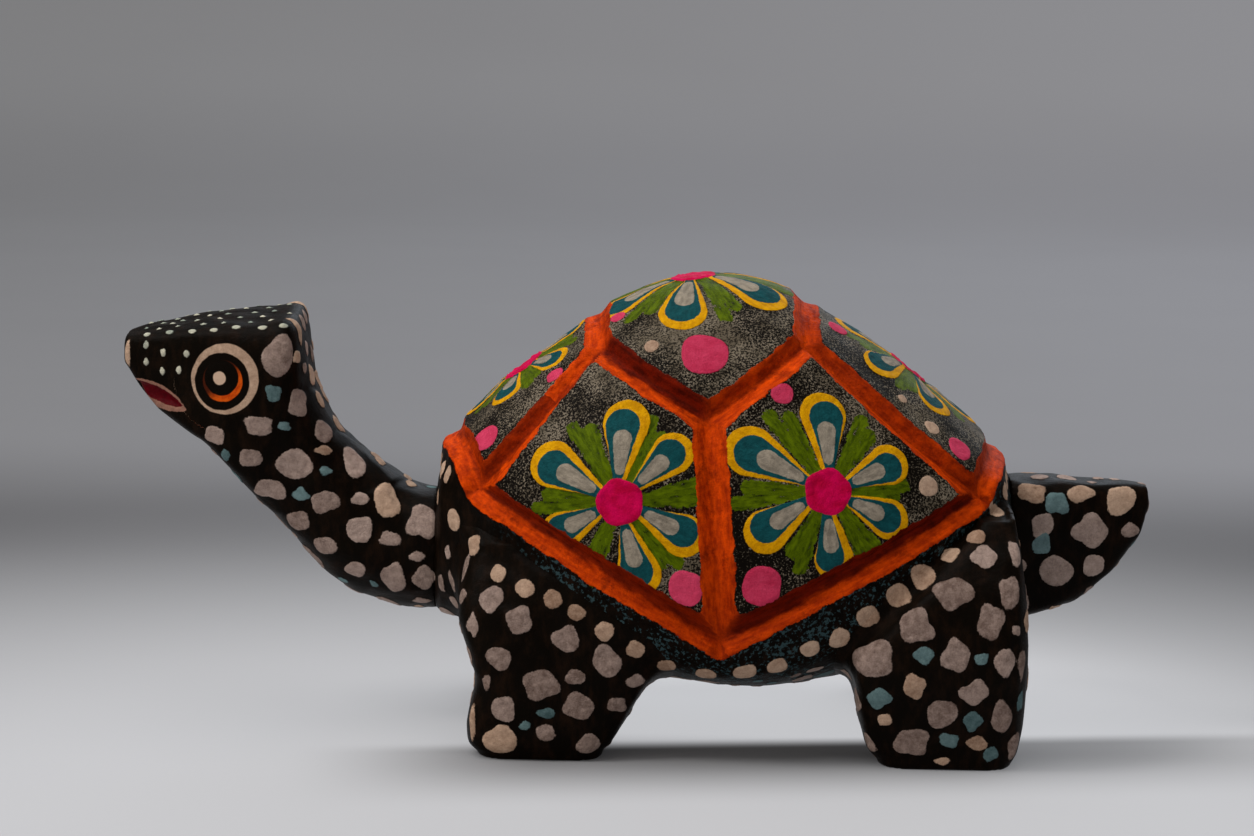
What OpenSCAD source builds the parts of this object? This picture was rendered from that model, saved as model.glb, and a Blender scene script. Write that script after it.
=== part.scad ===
// Carved and painted wooden turtle, standing on four blocky legs.
// X runs from head (-X) to tail (+X), Y from the figure's left (-Y) to its right, Z is up from the soles.
// The shell and belly are one block. The neck and the tail plug into round sockets in it,
// and the four legs are pegged and glued to it.

/* [Shell] */
// Width of the shell across the rim
shell_w = 62; // [58:1:66]
// Width of the carved grooves between the plates
groove_w = 4.6; // [3.4:0.2:5.4]
// Depth of the carved grooves between the plates
groove_d = 1.3; // [0.8:0.1:2]
// How square the underside is, 2 being an ellipse
belly_squareness = 2.9; // [2.2:0.1:3.2]

/* [Neck and head] */
// Width of the head across its flat top
head_w = 18.6; // [16:0.2:21]
// Width of the neck where it meets the shell
neck_root_w = 19.6; // [17:0.2:21]
// How much the flat top of the head rises from left to right, per unit of width
crown_tilt = 0.15; // [0:0.01:0.2]
// Diameter of the neck dowel
neck_dowel_d = 8; // [6:0.5:9]
// Depth of the neck dowel in the shell, which is how far the neck pulls out
neck_dowel_in = 12; // [8:0.5:14]

/* [Tail] */
// Thickness of the tail where it meets the shell
tail_root_w = 12; // [10.5:0.5:14]
// Thickness of the tail at its tip
tail_tip_w = 5.6; // [4:0.2:8]
// Diameter of the tail dowel
tail_dowel_d = 5; // [4:0.5:6]
// Depth of the tail dowel in the shell, which is how far the tail pulls out
tail_dowel_in = 9; // [6:0.5:10]

/* [Legs] */
// Thickness of a leg across the figure
leg_t = 14; // [12:0.5:15]
// Distance from the middle plane to the outer face of a front foot
front_foot_out = 28; // [26:0.5:29]
// Distance from the middle plane to the outer face of a rear foot
rear_foot_out = 29; // [27:0.5:30]
// Diameter of the four leg dowels
leg_dowel_d = 6; // [4:0.5:6.5]

/* [Fits] */
// Radial clearance round the neck and tail dowels in their sockets
socket_gap = 0.05; // [0.02:0.01:0.1]
// Spare depth past the end of each dowel
socket_spare = 1; // [0.5:0.5:2]

/* [Smoothness] */
// Points round each carved section
ring_n = 36; // [28:4:44]
// Sections between one station of the shell and the next
shell_steps = 2; // [1:1:2]

/* [Hidden] */
$fn = 64;

// Paint and bare wood
shell_colour = [0.20, 0.20, 0.20];
skin_colour = [0.13, 0.12, 0.12];
wood_colour = [0.80, 0.66, 0.45];

// Planes of the two flat seats on the shell
neck_seat_x = -29;
tail_seat_x = 54.8;

// Heights of the dowels' axes
neck_dowel_z = 26.4;
tail_dowel_z = 27.6;

// Depth of the dowels in the neck and in the tail
neck_dowel_out = 12;
tail_dowel_out = 9;

// Front leg dowels stand upright: their place in X, and their lowest and highest points
front_dowel_x = -12;
front_dowel_z = [8, 27];

// Rear leg dowels lie across the figure: their place in X and Z, and their distances from the middle plane
rear_dowel_x = 44;
rear_dowel_z = 21;
rear_dowel_y = [9, 26];

// Stations of the shell: x, underside, height of the widest line, top, half width as a share of the widest
shell_stations = [
    [neck_seat_x, 17.0, 27, 36.2, 0.32],
    [-28.2, 16.4, 33, 40.6, 0.43],
    [-25.0, 15.7, 36, 45.2, 0.56],
    [-20.0, 14.6, 35.5, 50.2, 0.69],
    [-12.0, 12.4, 31.5, 56.0, 0.84],
    [-4.0, 10.8, 27, 62.2, 0.935],
    [4.0, 9.8, 22, 65.7, 0.985],
    [12.0, 9.0, 18.5, 66.6, 1.0],
    [20.0, 8.5, 22, 65.2, 0.99],
    [28.0, 9.4, 26.5, 61.0, 0.945],
    [36.0, 11.3, 31, 56.0, 0.865],
    [44.0, 14.0, 35, 50.2, 0.73],
    [49.5, 16.0, 36.5, 45.8, 0.59],
    [53.2, 16.6, 35, 41.4, 0.43],
    [tail_seat_x, 17.2, 27.5, 37.8, 0.27]
];

// Sections of the neck and head from the seat to the snout:
// top x, top z, bottom x, bottom z, half width, squareness, rise of the top per unit of Y
neck_sections = [
    [neck_seat_x, 34.2, neck_seat_x, 16.7, neck_root_w / 2, 2.4, 0],
    [-32.5, 34.9, -34.0, 17.0, neck_root_w / 2 - 0.3, 2.4, 0],
    [-37.4, 38.0, -41.0, 19.2, neck_root_w / 2 - 0.9, 2.4, 0],
    [-42.3, 41.7, -46.0, 22.6, neck_root_w / 2 - 1.3, 2.4, 0],
    [-45.9, 46.8, -50.0, 26.9, neck_root_w / 2 - 1.5, 2.5, 0.02],
    [-48.0, 52.0, -53.6, 31.0, head_w / 2 - 0.9, 3.0, 0.07],
    [-49.7, 59.4, -57.4, 35.3, head_w / 2, 6.0, 0.14],
    [-54.4, 59.4, -61.5, 39.5, head_w / 2 - 0.5, 6.5, crown_tilt],
    [-60.0, 59.0, -65.4, 42.5, head_w / 2 - 1.7, 6.5, crown_tilt],
    [-66.0, 58.2, -69.2, 45.1, head_w / 2 - 3.2, 6.0, crown_tilt],
    [-71.5, 57.1, -72.8, 49.0, head_w / 2 - 4.8, 5.0, crown_tilt],
    [-74.4, 56.5, -74.6, 51.4, head_w / 2 - 6.2, 3.8, crown_tilt],
    [-75.0, 56.1, -75.0, 51.8, head_w / 2 - 6.8, 3.0, crown_tilt]
];

// Sections of the tail from the seat to the tip: x, underside, top, share of the way to the tip thickness
tail_sections = [
    [tail_seat_x, 17.2, 37.8, 0],
    [60.0, 17.9, 37.7, 0.25],
    [65.7, 20.3, 37.5, 0.5],
    [70.6, 24.4, 37.4, 0.75],
    [73.8, 29.1, 37.2, 0.92],
    [75.0, 33.4, 37.0, 1]
];
tail_squareness = 4.5;

// Sections of a front leg from the sole up: z, front x, rear x, how far the outer face leans in
front_leg_sections = [
    [-2.0, -21.4, -4.4, 0.5],
    [0.4, -21.8, -4.0, 0.4],
    [2.0, -22.8, -3.0, 0],
    [6.0, -23.0, -0.4, 0],
    [10.5, -22.4, 1.8, 0],
    [15.0, -23.4, 4.0, 0.2],
    [20.0, -24.6, 5.0, 1.2],
    [25.0, -24.2, 4.0, 3.4],
    [29.0, -22.4, 1.0, 6.0]
];

// Sections of a rear leg from the sole up, in the same order
rear_leg_sections = [
    [-2.0, 35.4, 53.4, 0.6],
    [0.4, 35.0, 53.8, 0.4],
    [2.2, 33.6, 54.8, 0],
    [6.0, 32.3, 55.4, -0.6],
    [11.0, 31.2, 55.6, -1.4],
    [15.5, 30.8, 55.7, -2.0],
    [20.0, 34.6, 55.5, -1.6],
    [25.0, 39.6, 55.2, 0.2],
    [30.0, 44.6, 54.6, 3.4],
    [34.5, 48.8, 53.4, 7.4]
];
leg_squareness = 4.2;

// How far a groove's cutter stands above the surface, and how far it runs past a corner
groove_h = 1.6;
groove_over = 0.7;

// How far the rim's groove reaches past the side corners at the front and at the rear
front_end_reach = 3.8;
rear_end_reach = 3;

// Middle of the shell as x and z, and how far the grooves turn to face forward or back at its ends
shell_middle = [12, 24];
end_lean = 0.35;

// Corners of the groove network on the left side, as x and z: where the bands meet
front_corner = [-22.8, 37.4];
rear_corner = [49.2, 37.6];
front_top_corner = [-6, 57.6];
rear_top_corner = [24, 58.6];
side_top_corner = [10, 48.6];
side_low_corner = [12.2, 18.2];

// Value at t between v1 and v2 of the smooth curve through four values
function through(v0, v1, v2, v3, t) =
    v1 + t * ((v2 - v0) / 2 + t * (v0 - 2.5 * v1 + 2 * v2 - v3 / 2 + t * (1.5 * (v1 - v2) + (v3 - v0) / 2)));

// A table's row at t past station i
function between(table, i, t) =
    let (last = len(table) - 1)
    through(table[max(i - 1, 0)], table[i], table[min(i + 1, last)], table[min(i + 2, last)], t);

// The table with extra rows between its stations
function finer(table, steps) =
    let (last = len(table) - 1)
    [for (i = [0:last - 1]) for (k = [0:steps - 1]) between(table, i, k / steps), table[last]];

// The row of a table at x, where x is its first column
function row_at(table, x) =
    let (i = max([for (k = [0:len(table) - 2]) if (table[k][0] <= x) k, 0]),
         t = (x - table[i][0]) / (table[i + 1][0] - table[i][0]))
    between(table, i, t);

// A number's power that keeps its sign
function spow(v, p) = sign(v) * pow(abs(v), p);

// Shell section: superellipse halves above and below the widest line
function shell_row_half(row) = row[4] * shell_w / 2;
function shell_ring(row) = [
    for (k = [0:ring_n - 1])
        let (a = -360 * k / ring_n,
             p = sin(a) >= 0 ? 2 : belly_squareness,
             h = sin(a) >= 0 ? row[3] - row[2] : row[2] - row[1])
        [row[0], shell_row_half(row) * spow(cos(a), 2 / p), row[2] + h * spow(sin(a), 2 / p)]
];

// Neck section: a superellipse between a top point and a bottom point of the side view
function neck_ring(row) = [
    for (k = [0:ring_n - 1])
        let (a = 360 * k / ring_n,
             c = spow(cos(a), 2 / row[5]),
             s = spow(sin(a), 2 / row[5]))
        [(row[0] + row[2]) / 2 + s * (row[0] - row[2]) / 2,
         row[4] * c,
         (row[1] + row[3]) / 2 + s * (row[1] - row[3]) / 2 + row[6] * row[4] * c * max(s, 0)]
];

// Tail section: a tall rounded rectangle
function tail_ring(row) = [
    for (k = [0:ring_n - 1])
        let (a = -360 * k / ring_n,
             half = (tail_root_w + (tail_tip_w - tail_root_w) * row[3]) / 2)
        [row[0],
         half * spow(cos(a), 2 / tail_squareness),
         (row[1] + row[2]) / 2 + (row[2] - row[1]) / 2 * spow(sin(a), 2 / tail_squareness)]
];

// Leg section of a left leg: a level rounded rectangle
function leg_ring(row, foot_out) =
    let (y_out = -(foot_out - row[3]),
         y_in = -(foot_out - leg_t) + min(row[3], 0) / 2)
    [for (k = [0:ring_n - 1])
        let (a = -360 * k / ring_n)
        [(row[1] + row[2]) / 2 + (row[2] - row[1]) / 2 * spow(cos(a), 2 / leg_squareness),
         (y_out + y_in) / 2 + (y_in - y_out) / 2 * spow(sin(a), 2 / leg_squareness),
         row[0]]];

// Solid through a list of rings of equally many points, clockwise when looking back along the list
module loft(rings) {
    n = len(rings[0]);
    m = len(rings);
    sides = [for (i = [0:m - 2]) for (k = [0:n - 1])
        let (a = i * n + k, b = i * n + (k + 1) % n)
        each [[a, b, b + n], [a, b + n, a + n]]];
    first = [for (k = [0:n - 1]) n - 1 - k];
    last = [for (k = [0:n - 1]) (m - 1) * n + k];
    polyhedron(points = [for (ring = rings) each ring], faces = concat([first], sides, [last]));
}

// Points of the shell's left surface, from x and z, and of its top, from x and y
function on_side(x, z) =
    let (row = row_at(shell_stations, x),
         h = z >= row[2] ? row[3] - row[2] : row[2] - row[1],
         p = z >= row[2] ? 2 : belly_squareness,
         u = min(abs(z - row[2]) / h, 1))
    [x, -shell_row_half(row) * pow(1 - pow(u, p), 1 / p), z];
function on_top(x, y) =
    let (row = row_at(shell_stations, x),
         u = min(abs(y) / shell_row_half(row), 1))
    [x, y, row[2] + (row[3] - row[2]) * sqrt(1 - u * u)];

// Outward direction of the shell at a point, leaning only a little forward or back
function outward(p) =
    let (v = [(p[0] - shell_middle[0]) * end_lean, p[1], p[2] - shell_middle[1]])
    v / norm(v);

// V-shaped cutter along a chain of surface points, reaching groove_h above the surface
module groove(points) {
    last = len(points) - 1;
    half_w = groove_w / 2 * (groove_d + groove_h) / groove_d;
    loft([for (i = [0:last])
        let (p = points[i],
             d = points[min(i + 1, last)] - points[max(i - 1, 0)],
             n = outward(p),
             side = cross(d, n) / norm(cross(d, n)))
        [p - n * groove_d, p + side * half_w + n * groove_h, p - side * half_w + n * groove_h]]);
}

// Groove across the left side between two corners, a little past both
function side_chain(a, b, steps = 5) =
    let (over = (b - a) / norm(b - a) * groove_over, c = a - over, e = b + over)
    [for (k = [0:steps]) let (q = c + (e - c) * k / steps) on_side(q[0], q[1])];

// Groove over the back between the two top corners at one end
function top_chain(corner, steps = 6) =
    let (y = on_side(corner[0], corner[1])[1])
    [for (k = [0:steps]) on_top(corner[0], y * cos(180 * k / steps))];

// Groove round one end between the two side corners, reaching further out over the middle plane
function end_chain(corner, reach, steps = 8) =
    let (y = on_side(corner[0], corner[1])[1])
    [for (k = [0:steps])
        let (c = cos(180 * k / steps))
        on_top(corner[0] + reach * (1 - c * c), y * c)];

// Grooves of the left side
module side_grooves() {
    groove(side_chain(front_corner, front_top_corner));
    groove(side_chain(front_top_corner, side_top_corner));
    groove(side_chain(side_top_corner, rear_top_corner));
    groove(side_chain(rear_top_corner, rear_corner));
    groove(side_chain(side_top_corner, side_low_corner));
    groove(side_chain(front_corner, side_low_corner));
    groove(side_chain(side_low_corner, rear_corner));
}

// Grooves of the whole shell
module grooves() {
    side_grooves();
    mirror([0, 1, 0]) side_grooves();
    groove(top_chain(front_top_corner));
    groove(top_chain(rear_top_corner));
    groove(end_chain(front_corner, -front_end_reach));
    groove(end_chain(rear_corner, rear_end_reach));
}

// The block without its grooves and sockets
module shell_block() {
    loft([for (row = finer(shell_stations, shell_steps)) shell_ring(row)]);
}

// Holes for the dowels
module neck_socket() {
    translate([neck_seat_x - 1, 0, neck_dowel_z])
        rotate([0, 90, 0])
            cylinder(d = neck_dowel_d + 2 * socket_gap, h = neck_dowel_in + socket_spare + 1);
}
module tail_socket() {
    translate([tail_seat_x + 1, 0, tail_dowel_z])
        rotate([0, -90, 0])
            cylinder(d = tail_dowel_d + 2 * socket_gap, h = tail_dowel_in + socket_spare + 1);
}

// Dowels of the left legs
module front_dowel() {
    translate([front_dowel_x, leg_t / 2 - front_foot_out, front_dowel_z[0]])
        cylinder(d = leg_dowel_d, h = front_dowel_z[1] - front_dowel_z[0]);
}
module rear_dowel() {
    translate([rear_dowel_x, -rear_dowel_y[0], rear_dowel_z])
        rotate([90, 0, 0])
            cylinder(d = leg_dowel_d, h = rear_dowel_y[1] - rear_dowel_y[0]);
}

// The shell and belly, carved from one block
module shell_body() {
    color(shell_colour)
        difference() {
            shell_block();
            grooves();
            neck_socket();
            tail_socket();
            for (side = [0, 1]) mirror([0, side, 0]) {
                front_dowel();
                rear_dowel();
            }
        }
}

// The neck and the head, carved in one piece
module neck_and_head() {
    color(skin_colour)
        difference() {
            loft([for (row = neck_sections) neck_ring(row)]);
            translate([neck_seat_x + 1, 0, neck_dowel_z])
                rotate([0, -90, 0])
                    cylinder(d = neck_dowel_d, h = neck_dowel_out + 1);
        }
}

module neck_dowel() {
    color(wood_colour)
        translate([neck_seat_x - neck_dowel_out, 0, neck_dowel_z])
            rotate([0, 90, 0])
                cylinder(d = neck_dowel_d, h = neck_dowel_out + neck_dowel_in);
}

// The tail, a flat-sided fin
module tail() {
    color(skin_colour)
        difference() {
            loft([for (row = tail_sections) tail_ring(row)]);
            translate([tail_seat_x - 1, 0, tail_dowel_z])
                rotate([0, 90, 0])
                    cylinder(d = tail_dowel_d, h = tail_dowel_out + 1);
        }
}

module tail_dowel() {
    color(wood_colour)
        translate([tail_seat_x + tail_dowel_out, 0, tail_dowel_z])
            rotate([0, -90, 0])
                cylinder(d = tail_dowel_d, h = tail_dowel_out + tail_dowel_in);
}

// Left legs: saddled to the belly, with a flat sole and a hole for the dowel
module ground() {
    translate([-100, -100, -10]) cube([200, 200, 10]);
}
module front_leg() {
    difference() {
        loft([for (row = front_leg_sections) leg_ring(row, front_foot_out)]);
        shell_block();
        front_dowel();
        ground();
    }
}
module rear_leg() {
    difference() {
        loft([for (row = rear_leg_sections) leg_ring(row, rear_foot_out)]);
        shell_block();
        rear_dowel();
        ground();
    }
}

module front_left_leg() {
    color(skin_colour) front_leg();
}
module front_right_leg() {
    color(skin_colour) mirror([0, 1, 0]) front_leg();
}
module rear_left_leg() {
    color(skin_colour) rear_leg();
}
module rear_right_leg() {
    color(skin_colour) mirror([0, 1, 0]) rear_leg();
}

module front_left_leg_dowel() {
    color(wood_colour) front_dowel();
}
module front_right_leg_dowel() {
    color(wood_colour) mirror([0, 1, 0]) front_dowel();
}
module rear_left_leg_dowel() {
    color(wood_colour) rear_dowel();
}
module rear_right_leg_dowel() {
    color(wood_colour) mirror([0, 1, 0]) rear_dowel();
}

shell_body();
neck_and_head();
neck_dowel();
tail();
tail_dowel();
front_left_leg();
front_right_leg();
rear_left_leg();
rear_right_leg();
front_left_leg_dowel();
front_right_leg_dowel();
rear_left_leg_dowel();
rear_right_leg_dowel();
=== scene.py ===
"""A carved and painted wooden turtle: its looks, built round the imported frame.

Lengths are in millimetres until a mesh is made. X runs from head to tail, the figure's left side is at -Y,
and Z is up from the soles. Each carved piece is a distance field that is meshed. Then knife work moves its
points, and its paint is worked out at them and lifted a little off the wood.
"""

import math

import bpy
import numpy as np
import openvdb
from mathutils import Matrix, Vector


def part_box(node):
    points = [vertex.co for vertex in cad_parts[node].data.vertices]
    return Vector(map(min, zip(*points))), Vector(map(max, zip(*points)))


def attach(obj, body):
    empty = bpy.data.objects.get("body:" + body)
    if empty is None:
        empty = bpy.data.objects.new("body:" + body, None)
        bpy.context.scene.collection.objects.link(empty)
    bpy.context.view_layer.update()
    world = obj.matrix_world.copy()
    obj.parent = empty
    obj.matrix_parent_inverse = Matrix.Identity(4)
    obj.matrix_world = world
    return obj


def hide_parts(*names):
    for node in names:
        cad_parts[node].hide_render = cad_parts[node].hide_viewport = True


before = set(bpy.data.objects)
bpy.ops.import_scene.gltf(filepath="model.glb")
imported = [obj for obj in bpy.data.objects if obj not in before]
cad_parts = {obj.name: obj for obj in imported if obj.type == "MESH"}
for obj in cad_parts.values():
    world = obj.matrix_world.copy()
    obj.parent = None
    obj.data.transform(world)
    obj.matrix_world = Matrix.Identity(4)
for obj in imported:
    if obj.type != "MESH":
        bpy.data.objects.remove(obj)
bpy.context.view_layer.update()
MM = 0.001
FAR = 9.0   # stands for "far from any mark" where a paint's distance is held
LEFT, RIGHT = -1, 1
rng = np.random.default_rng(7)


# ---------------- camera

CAMERA_DISTANCE = 520
CAMERA_ELEVATION = 8
CAMERA_ROLL = 1.2
CAMERA_AIM = (-1.5, 0, 45.2)
VIEW_WIDTH = 184.3


def add_object(name, data):
    """A new object in the scene."""
    made = bpy.data.objects.new(name, data)
    bpy.context.scene.collection.objects.link(made)
    return made


def make_camera():
    """A long lens at the figure's left side, a little above it."""
    data = bpy.data.cameras.new("camera")
    data.lens = data.sensor_width * CAMERA_DISTANCE / VIEW_WIDTH
    data.clip_start = 0.01
    camera = bpy.context.scene.camera = add_object("camera", data)
    elevation = math.radians(CAMERA_ELEVATION)
    back = Vector((0, -math.cos(elevation), math.sin(elevation)))
    turn = back.to_track_quat("Z", "Y").to_matrix() @ Matrix.Rotation(math.radians(CAMERA_ROLL), 3, "Z")
    place = (Vector(CAMERA_AIM) + back * CAMERA_DISTANCE) * MM
    camera.matrix_world = Matrix.Translation(place) @ turn.to_4x4()


make_camera()


# ---------------- dimensions, as in the CAD part

SHELL_HALF_W = 31
BELLY_SQUARENESS = 2.9
NECK_SEAT_X = -29
TAIL_SEAT_X = 54.8
# Height, radius and depth of each socket
NECK_SOCKET = (26.4, 4.05, 13)
TAIL_SOCKET = (27.6, 2.55, 10)

# x, underside, height of the widest line, top, half width as a share of the widest
SHELL_STATIONS = np.array([
    [NECK_SEAT_X, 17, 27, 36.2, 0.32],
    [-28.2, 16.4, 33, 40.6, 0.43],
    [-25, 15.7, 36, 45.2, 0.56],
    [-20, 14.6, 35.5, 50.2, 0.69],
    [-12, 12.4, 31.5, 56, 0.84],
    [-4, 10.8, 27, 62.2, 0.935],
    [4, 9.8, 22, 65.7, 0.985],
    [12, 9, 18.5, 66.6, 1],
    [20, 8.5, 22, 65.2, 0.99],
    [28, 9.4, 26.5, 61, 0.945],
    [36, 11.3, 31, 56, 0.865],
    [44, 14, 35, 50.2, 0.73],
    [49.5, 16, 36.5, 45.8, 0.59],
    [53.2, 16.6, 35, 41.4, 0.43],
    [TAIL_SEAT_X, 17.2, 27.5, 37.8, 0.27],
])

# top x, top z, bottom x, bottom z, half width, squareness, rise of the top to the right
NECK_SECTIONS = np.array([
    [NECK_SEAT_X, 34.2, NECK_SEAT_X, 16.7, 9.8, 2.4, 0],
    [-32.5, 34.9, -34, 17, 9.5, 2.4, 0],
    [-37.4, 38, -41, 19.2, 8.9, 2.4, 0],
    [-42.3, 41.7, -46, 22.6, 8.5, 2.4, 0],
    [-45.9, 46.8, -50, 26.9, 8.3, 2.5, 0.02],
    [-48, 52, -53.6, 31, 8.4, 3, 0.07],
    [-49.7, 59.4, -57.4, 35.3, 9.3, 6, 0.14],
    [-54.4, 59.4, -61.5, 39.5, 8.8, 6.5, 0.15],
    [-60, 59, -65.4, 42.5, 7.6, 6.5, 0.15],
    [-66, 58.2, -69.2, 45.1, 6.1, 6, 0.15],
    [-71.5, 57.1, -72.8, 49, 4.5, 5, 0.15],
    [-74.4, 56.5, -74.6, 51.4, 3.1, 3.8, 0.15],
    [-75, 56.1, -75, 51.8, 2.5, 3, 0.15],
])

# x, underside, top, half thickness
TAIL_SECTIONS = np.array([
    [TAIL_SEAT_X, 17.2, 37.8, 6],
    [60, 17.9, 37.7, 5.2],
    [65.7, 20.3, 37.5, 4.4],
    [70.6, 24.4, 37.4, 3.6],
    [73.8, 29.1, 37.2, 3.05],
    [75, 33.4, 37, 2.8],
])
TAIL_SQUARENESS = 4.5

# z, front x, rear x, how far the outer face leans in
FRONT_LEG_SECTIONS = np.array([
    [-2, -21.4, -4.4, 0.5],
    [0.4, -21.8, -4, 0.4],
    [2, -22.8, -3, 0],
    [6, -23, -0.4, 0],
    [10.5, -22.4, 1.8, 0],
    [15, -23.4, 4, 0.2],
    [20, -24.6, 5, 1.2],
    [25, -24.2, 4, 3.4],
    [29, -22.4, 1, 6],
])
REAR_LEG_SECTIONS = np.array([
    [-2, 35.4, 53.4, 0.6],
    [0.4, 35, 53.8, 0.4],
    [2.2, 33.6, 54.8, 0],
    [6, 32.3, 55.4, -0.6],
    [11, 31.2, 55.6, -1.4],
    [15.5, 30.8, 55.7, -2],
    [20, 34.6, 55.5, -1.6],
    [25, 39.6, 55.2, 0.2],
    [30, 44.6, 54.6, 3.4],
    [34.5, 48.8, 53.4, 7.4],
])
FRONT_FOOT_OUT = 28
REAR_FOOT_OUT = 29
LEG_THICKNESS = 14
LEG_SQUARENESS = 4.2
FRONT_FILLET = 4.5
REAR_FILLET = 3.5

# Corners of the groove network on the left side, as x and z
FRONT_CORNER = (-22.8, 37.4)
REAR_CORNER = (49.2, 37.6)
FRONT_TOP_CORNER = (-6, 57.6)
REAR_TOP_CORNER = (24, 58.6)
SIDE_TOP_CORNER = (10, 48.6)
SIDE_LOW_CORNER = (12.2, 18.2)
FRONT_END_REACH = 3.8
REAR_END_REACH = 3.0
GROOVE_HALF_W = 2.3
GROOVE_DEPTH = 1.3
OVER_DEPTH = 0.5    # depth of a groove where it crosses the back
FLOOR_SHIFT = 0.45  # how far the V's bottom lies up the slope, as a share of its half width


def rows_at(table, x):
    """Rows of a table at the values x of its first column, along smooth curves through its rows."""
    x = np.asarray(x, float)
    first = table[:, 0]
    order = 1 if first[-1] > first[0] else -1
    i = np.clip(np.searchsorted(first * order, x * order, "right") - 1, 0, len(table) - 2)
    t = np.clip((x - first[i]) / (first[i + 1] - first[i]), 0, 1)[..., None]
    last = len(table) - 1
    v0, v1, v2, v3 = (table[np.clip(i + k, 0, last)] for k in (-1, 0, 1, 2))
    bend = v0 - 2.5 * v1 + 2 * v2 - v3 / 2 + t * (1.5 * (v1 - v2) + (v3 - v0) / 2)
    return v1 + t * ((v2 - v0) / 2 + t * bend)


# ---------------- fields

def room_for(node, below, above, step):
    """The low corner of a CAD node's box with room round it, and three open axes that span it."""
    lo, hi = (np.array(corner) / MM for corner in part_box(node))
    lo, hi = lo - below, hi + above
    axes = [np.arange(a, b + step, step) for a, b in zip(lo, hi)]
    return lo, (axes[0][:, None, None], axes[1][None, :, None], axes[2][None, None, :])


def to_distance(level, step):
    """A level function, zero on the surface, rescaled to be about a distance near it."""
    slope = np.sqrt(sum(g * g for g in np.gradient(level, step)))
    return level / np.maximum(slope, 0.004)


def superellipse(a, b, power):
    """Zero on the curve |a|^power + |b|^power = 1, and negative inside."""
    return (np.abs(a) ** power + np.abs(b) ** power) ** (1 / power) - 1


def shell_at(x):
    """The shell's underside, the height of its widest line, its top and its half width at x."""
    row = rows_at(SHELL_STATIONS, x)
    return row[..., 1], row[..., 2], row[..., 3], row[..., 4] * SHELL_HALF_W


def shell_field(x, y, z, step):
    """The shell and belly block, without its sockets."""
    low, wide, top, half = shell_at(np.clip(x, NECK_SEAT_X, TAIL_SEAT_X))
    up = z >= wide
    upper = superellipse(y / half, (z - wide) / (top - wide), 2)
    lower = superellipse(y / half, (z - wide) / (wide - low), BELLY_SQUARENESS)
    return to_distance(np.where(up, upper, lower), step)


def leg_field(x, y, z, sections, foot_out, step):
    """One left leg, with rounded upright edges."""
    row = rows_at(sections, z)
    x0, x1, lean = (row[..., k] for k in (1, 2, 3))
    y_out = -(foot_out - lean)
    y_in = -(foot_out - LEG_THICKNESS) + np.minimum(lean, 0) / 2
    along, across = (2 * x - x0 - x1) / (x1 - x0), (2 * y - y_out - y_in) / (y_in - y_out)
    level = superellipse(along, across, LEG_SQUARENESS)
    return np.maximum(to_distance(level, step), z - sections[-1, 0])


def neck_field(x, y, z, step):
    """The neck and head, swept through sections that each stand between a top and a bottom point."""
    fine = np.linspace(0, len(NECK_SECTIONS) - 1, 361)
    table = np.column_stack([np.arange(len(NECK_SECTIONS)), NECK_SECTIONS])
    row = rows_at(table, fine)[:, 1:]
    px, pz = np.broadcast_arrays(x[:, 0, :], z[0, 0, :][None, :])
    side = ((px[..., None] - row[:, 2]) * (row[:, 1] - row[:, 3])
            - (pz[..., None] - row[:, 3]) * (row[:, 0] - row[:, 2]))
    k = np.clip((side <= 0).sum(-1), 1, len(fine) - 1)
    near = np.take_along_axis(side, k[..., None] - 1, -1)[..., 0]
    far = np.take_along_axis(side, k[..., None], -1)[..., 0]
    t = np.clip(near / np.where(near == far, 1, near - far), 0, 1)[..., None]
    at = row[k - 1] * (1 - t) + row[k] * t
    mid = (at[..., :2] + at[..., 2:4]) / 2
    arm = (at[..., :2] - at[..., 2:4]) / 2
    along = ((px - mid[..., 0]) * arm[..., 0] + (pz - mid[..., 1]) * arm[..., 1]) / (arm ** 2).sum(-1)
    half, power = at[..., 4], at[..., 5]
    rise = at[..., 6] * np.maximum(along, 0) * arm[..., 1] / (arm ** 2).sum(-1)
    level = superellipse(along[:, None, :] - rise[:, None, :] * y, y / half[:, None, :], power[:, None, :])
    return np.maximum(to_distance(level, step), NECK_SECTIONS[-1, 0] - x)


def tail_field(x, y, z, step):
    """The tail, a tall rounded rectangle along X."""
    row = rows_at(TAIL_SECTIONS, np.clip(x, TAIL_SEAT_X, TAIL_SECTIONS[-1, 0]))
    low, top, half = (row[..., k] for k in (1, 2, 3))
    level = superellipse((2 * z - low - top) / (top - low), y / half, TAIL_SQUARENESS)
    return np.maximum(to_distance(level, step), x - TAIL_SECTIONS[-1, 0])


def blend_union(a, b, radius):
    """The union of two fields with a fillet between them."""
    mix = np.clip(0.5 + 0.5 * (b - a) / radius, 0, 1)
    return b * (1 - mix) + a * mix - radius * mix * (1 - mix)


def mesh_from(field, lo, step):
    """Points and quads on the zero surface of a field, facing outward."""
    grid = openvdb.FloatGrid(3 * step)
    grid.copyFromArray(field.astype(np.float32))
    points, quads = (np.array(a) for a in grid.convertToQuads(0.0))
    points = points * step + lo
    corners = points[quads]
    turn = np.cross(corners[:, 1] - corners[:, 0], corners[:, 2] - corners[:, 0])
    if (turn * corners[:, 0]).sum() < 0:
        quads = quads[:, ::-1]
    return points, quads.astype(int)


def normals_of(points, quads):
    """Outward normals at the points."""
    corners = points[quads]
    face = np.cross(corners[:, 2] - corners[:, 0], corners[:, 3] - corners[:, 1])
    total = np.zeros_like(points)
    for k in range(4):
        np.add.at(total, quads[:, k], face)
    return total / np.maximum(np.linalg.norm(total, axis=1), 1e-9)[:, None]


# ---------------- surface helpers

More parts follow.
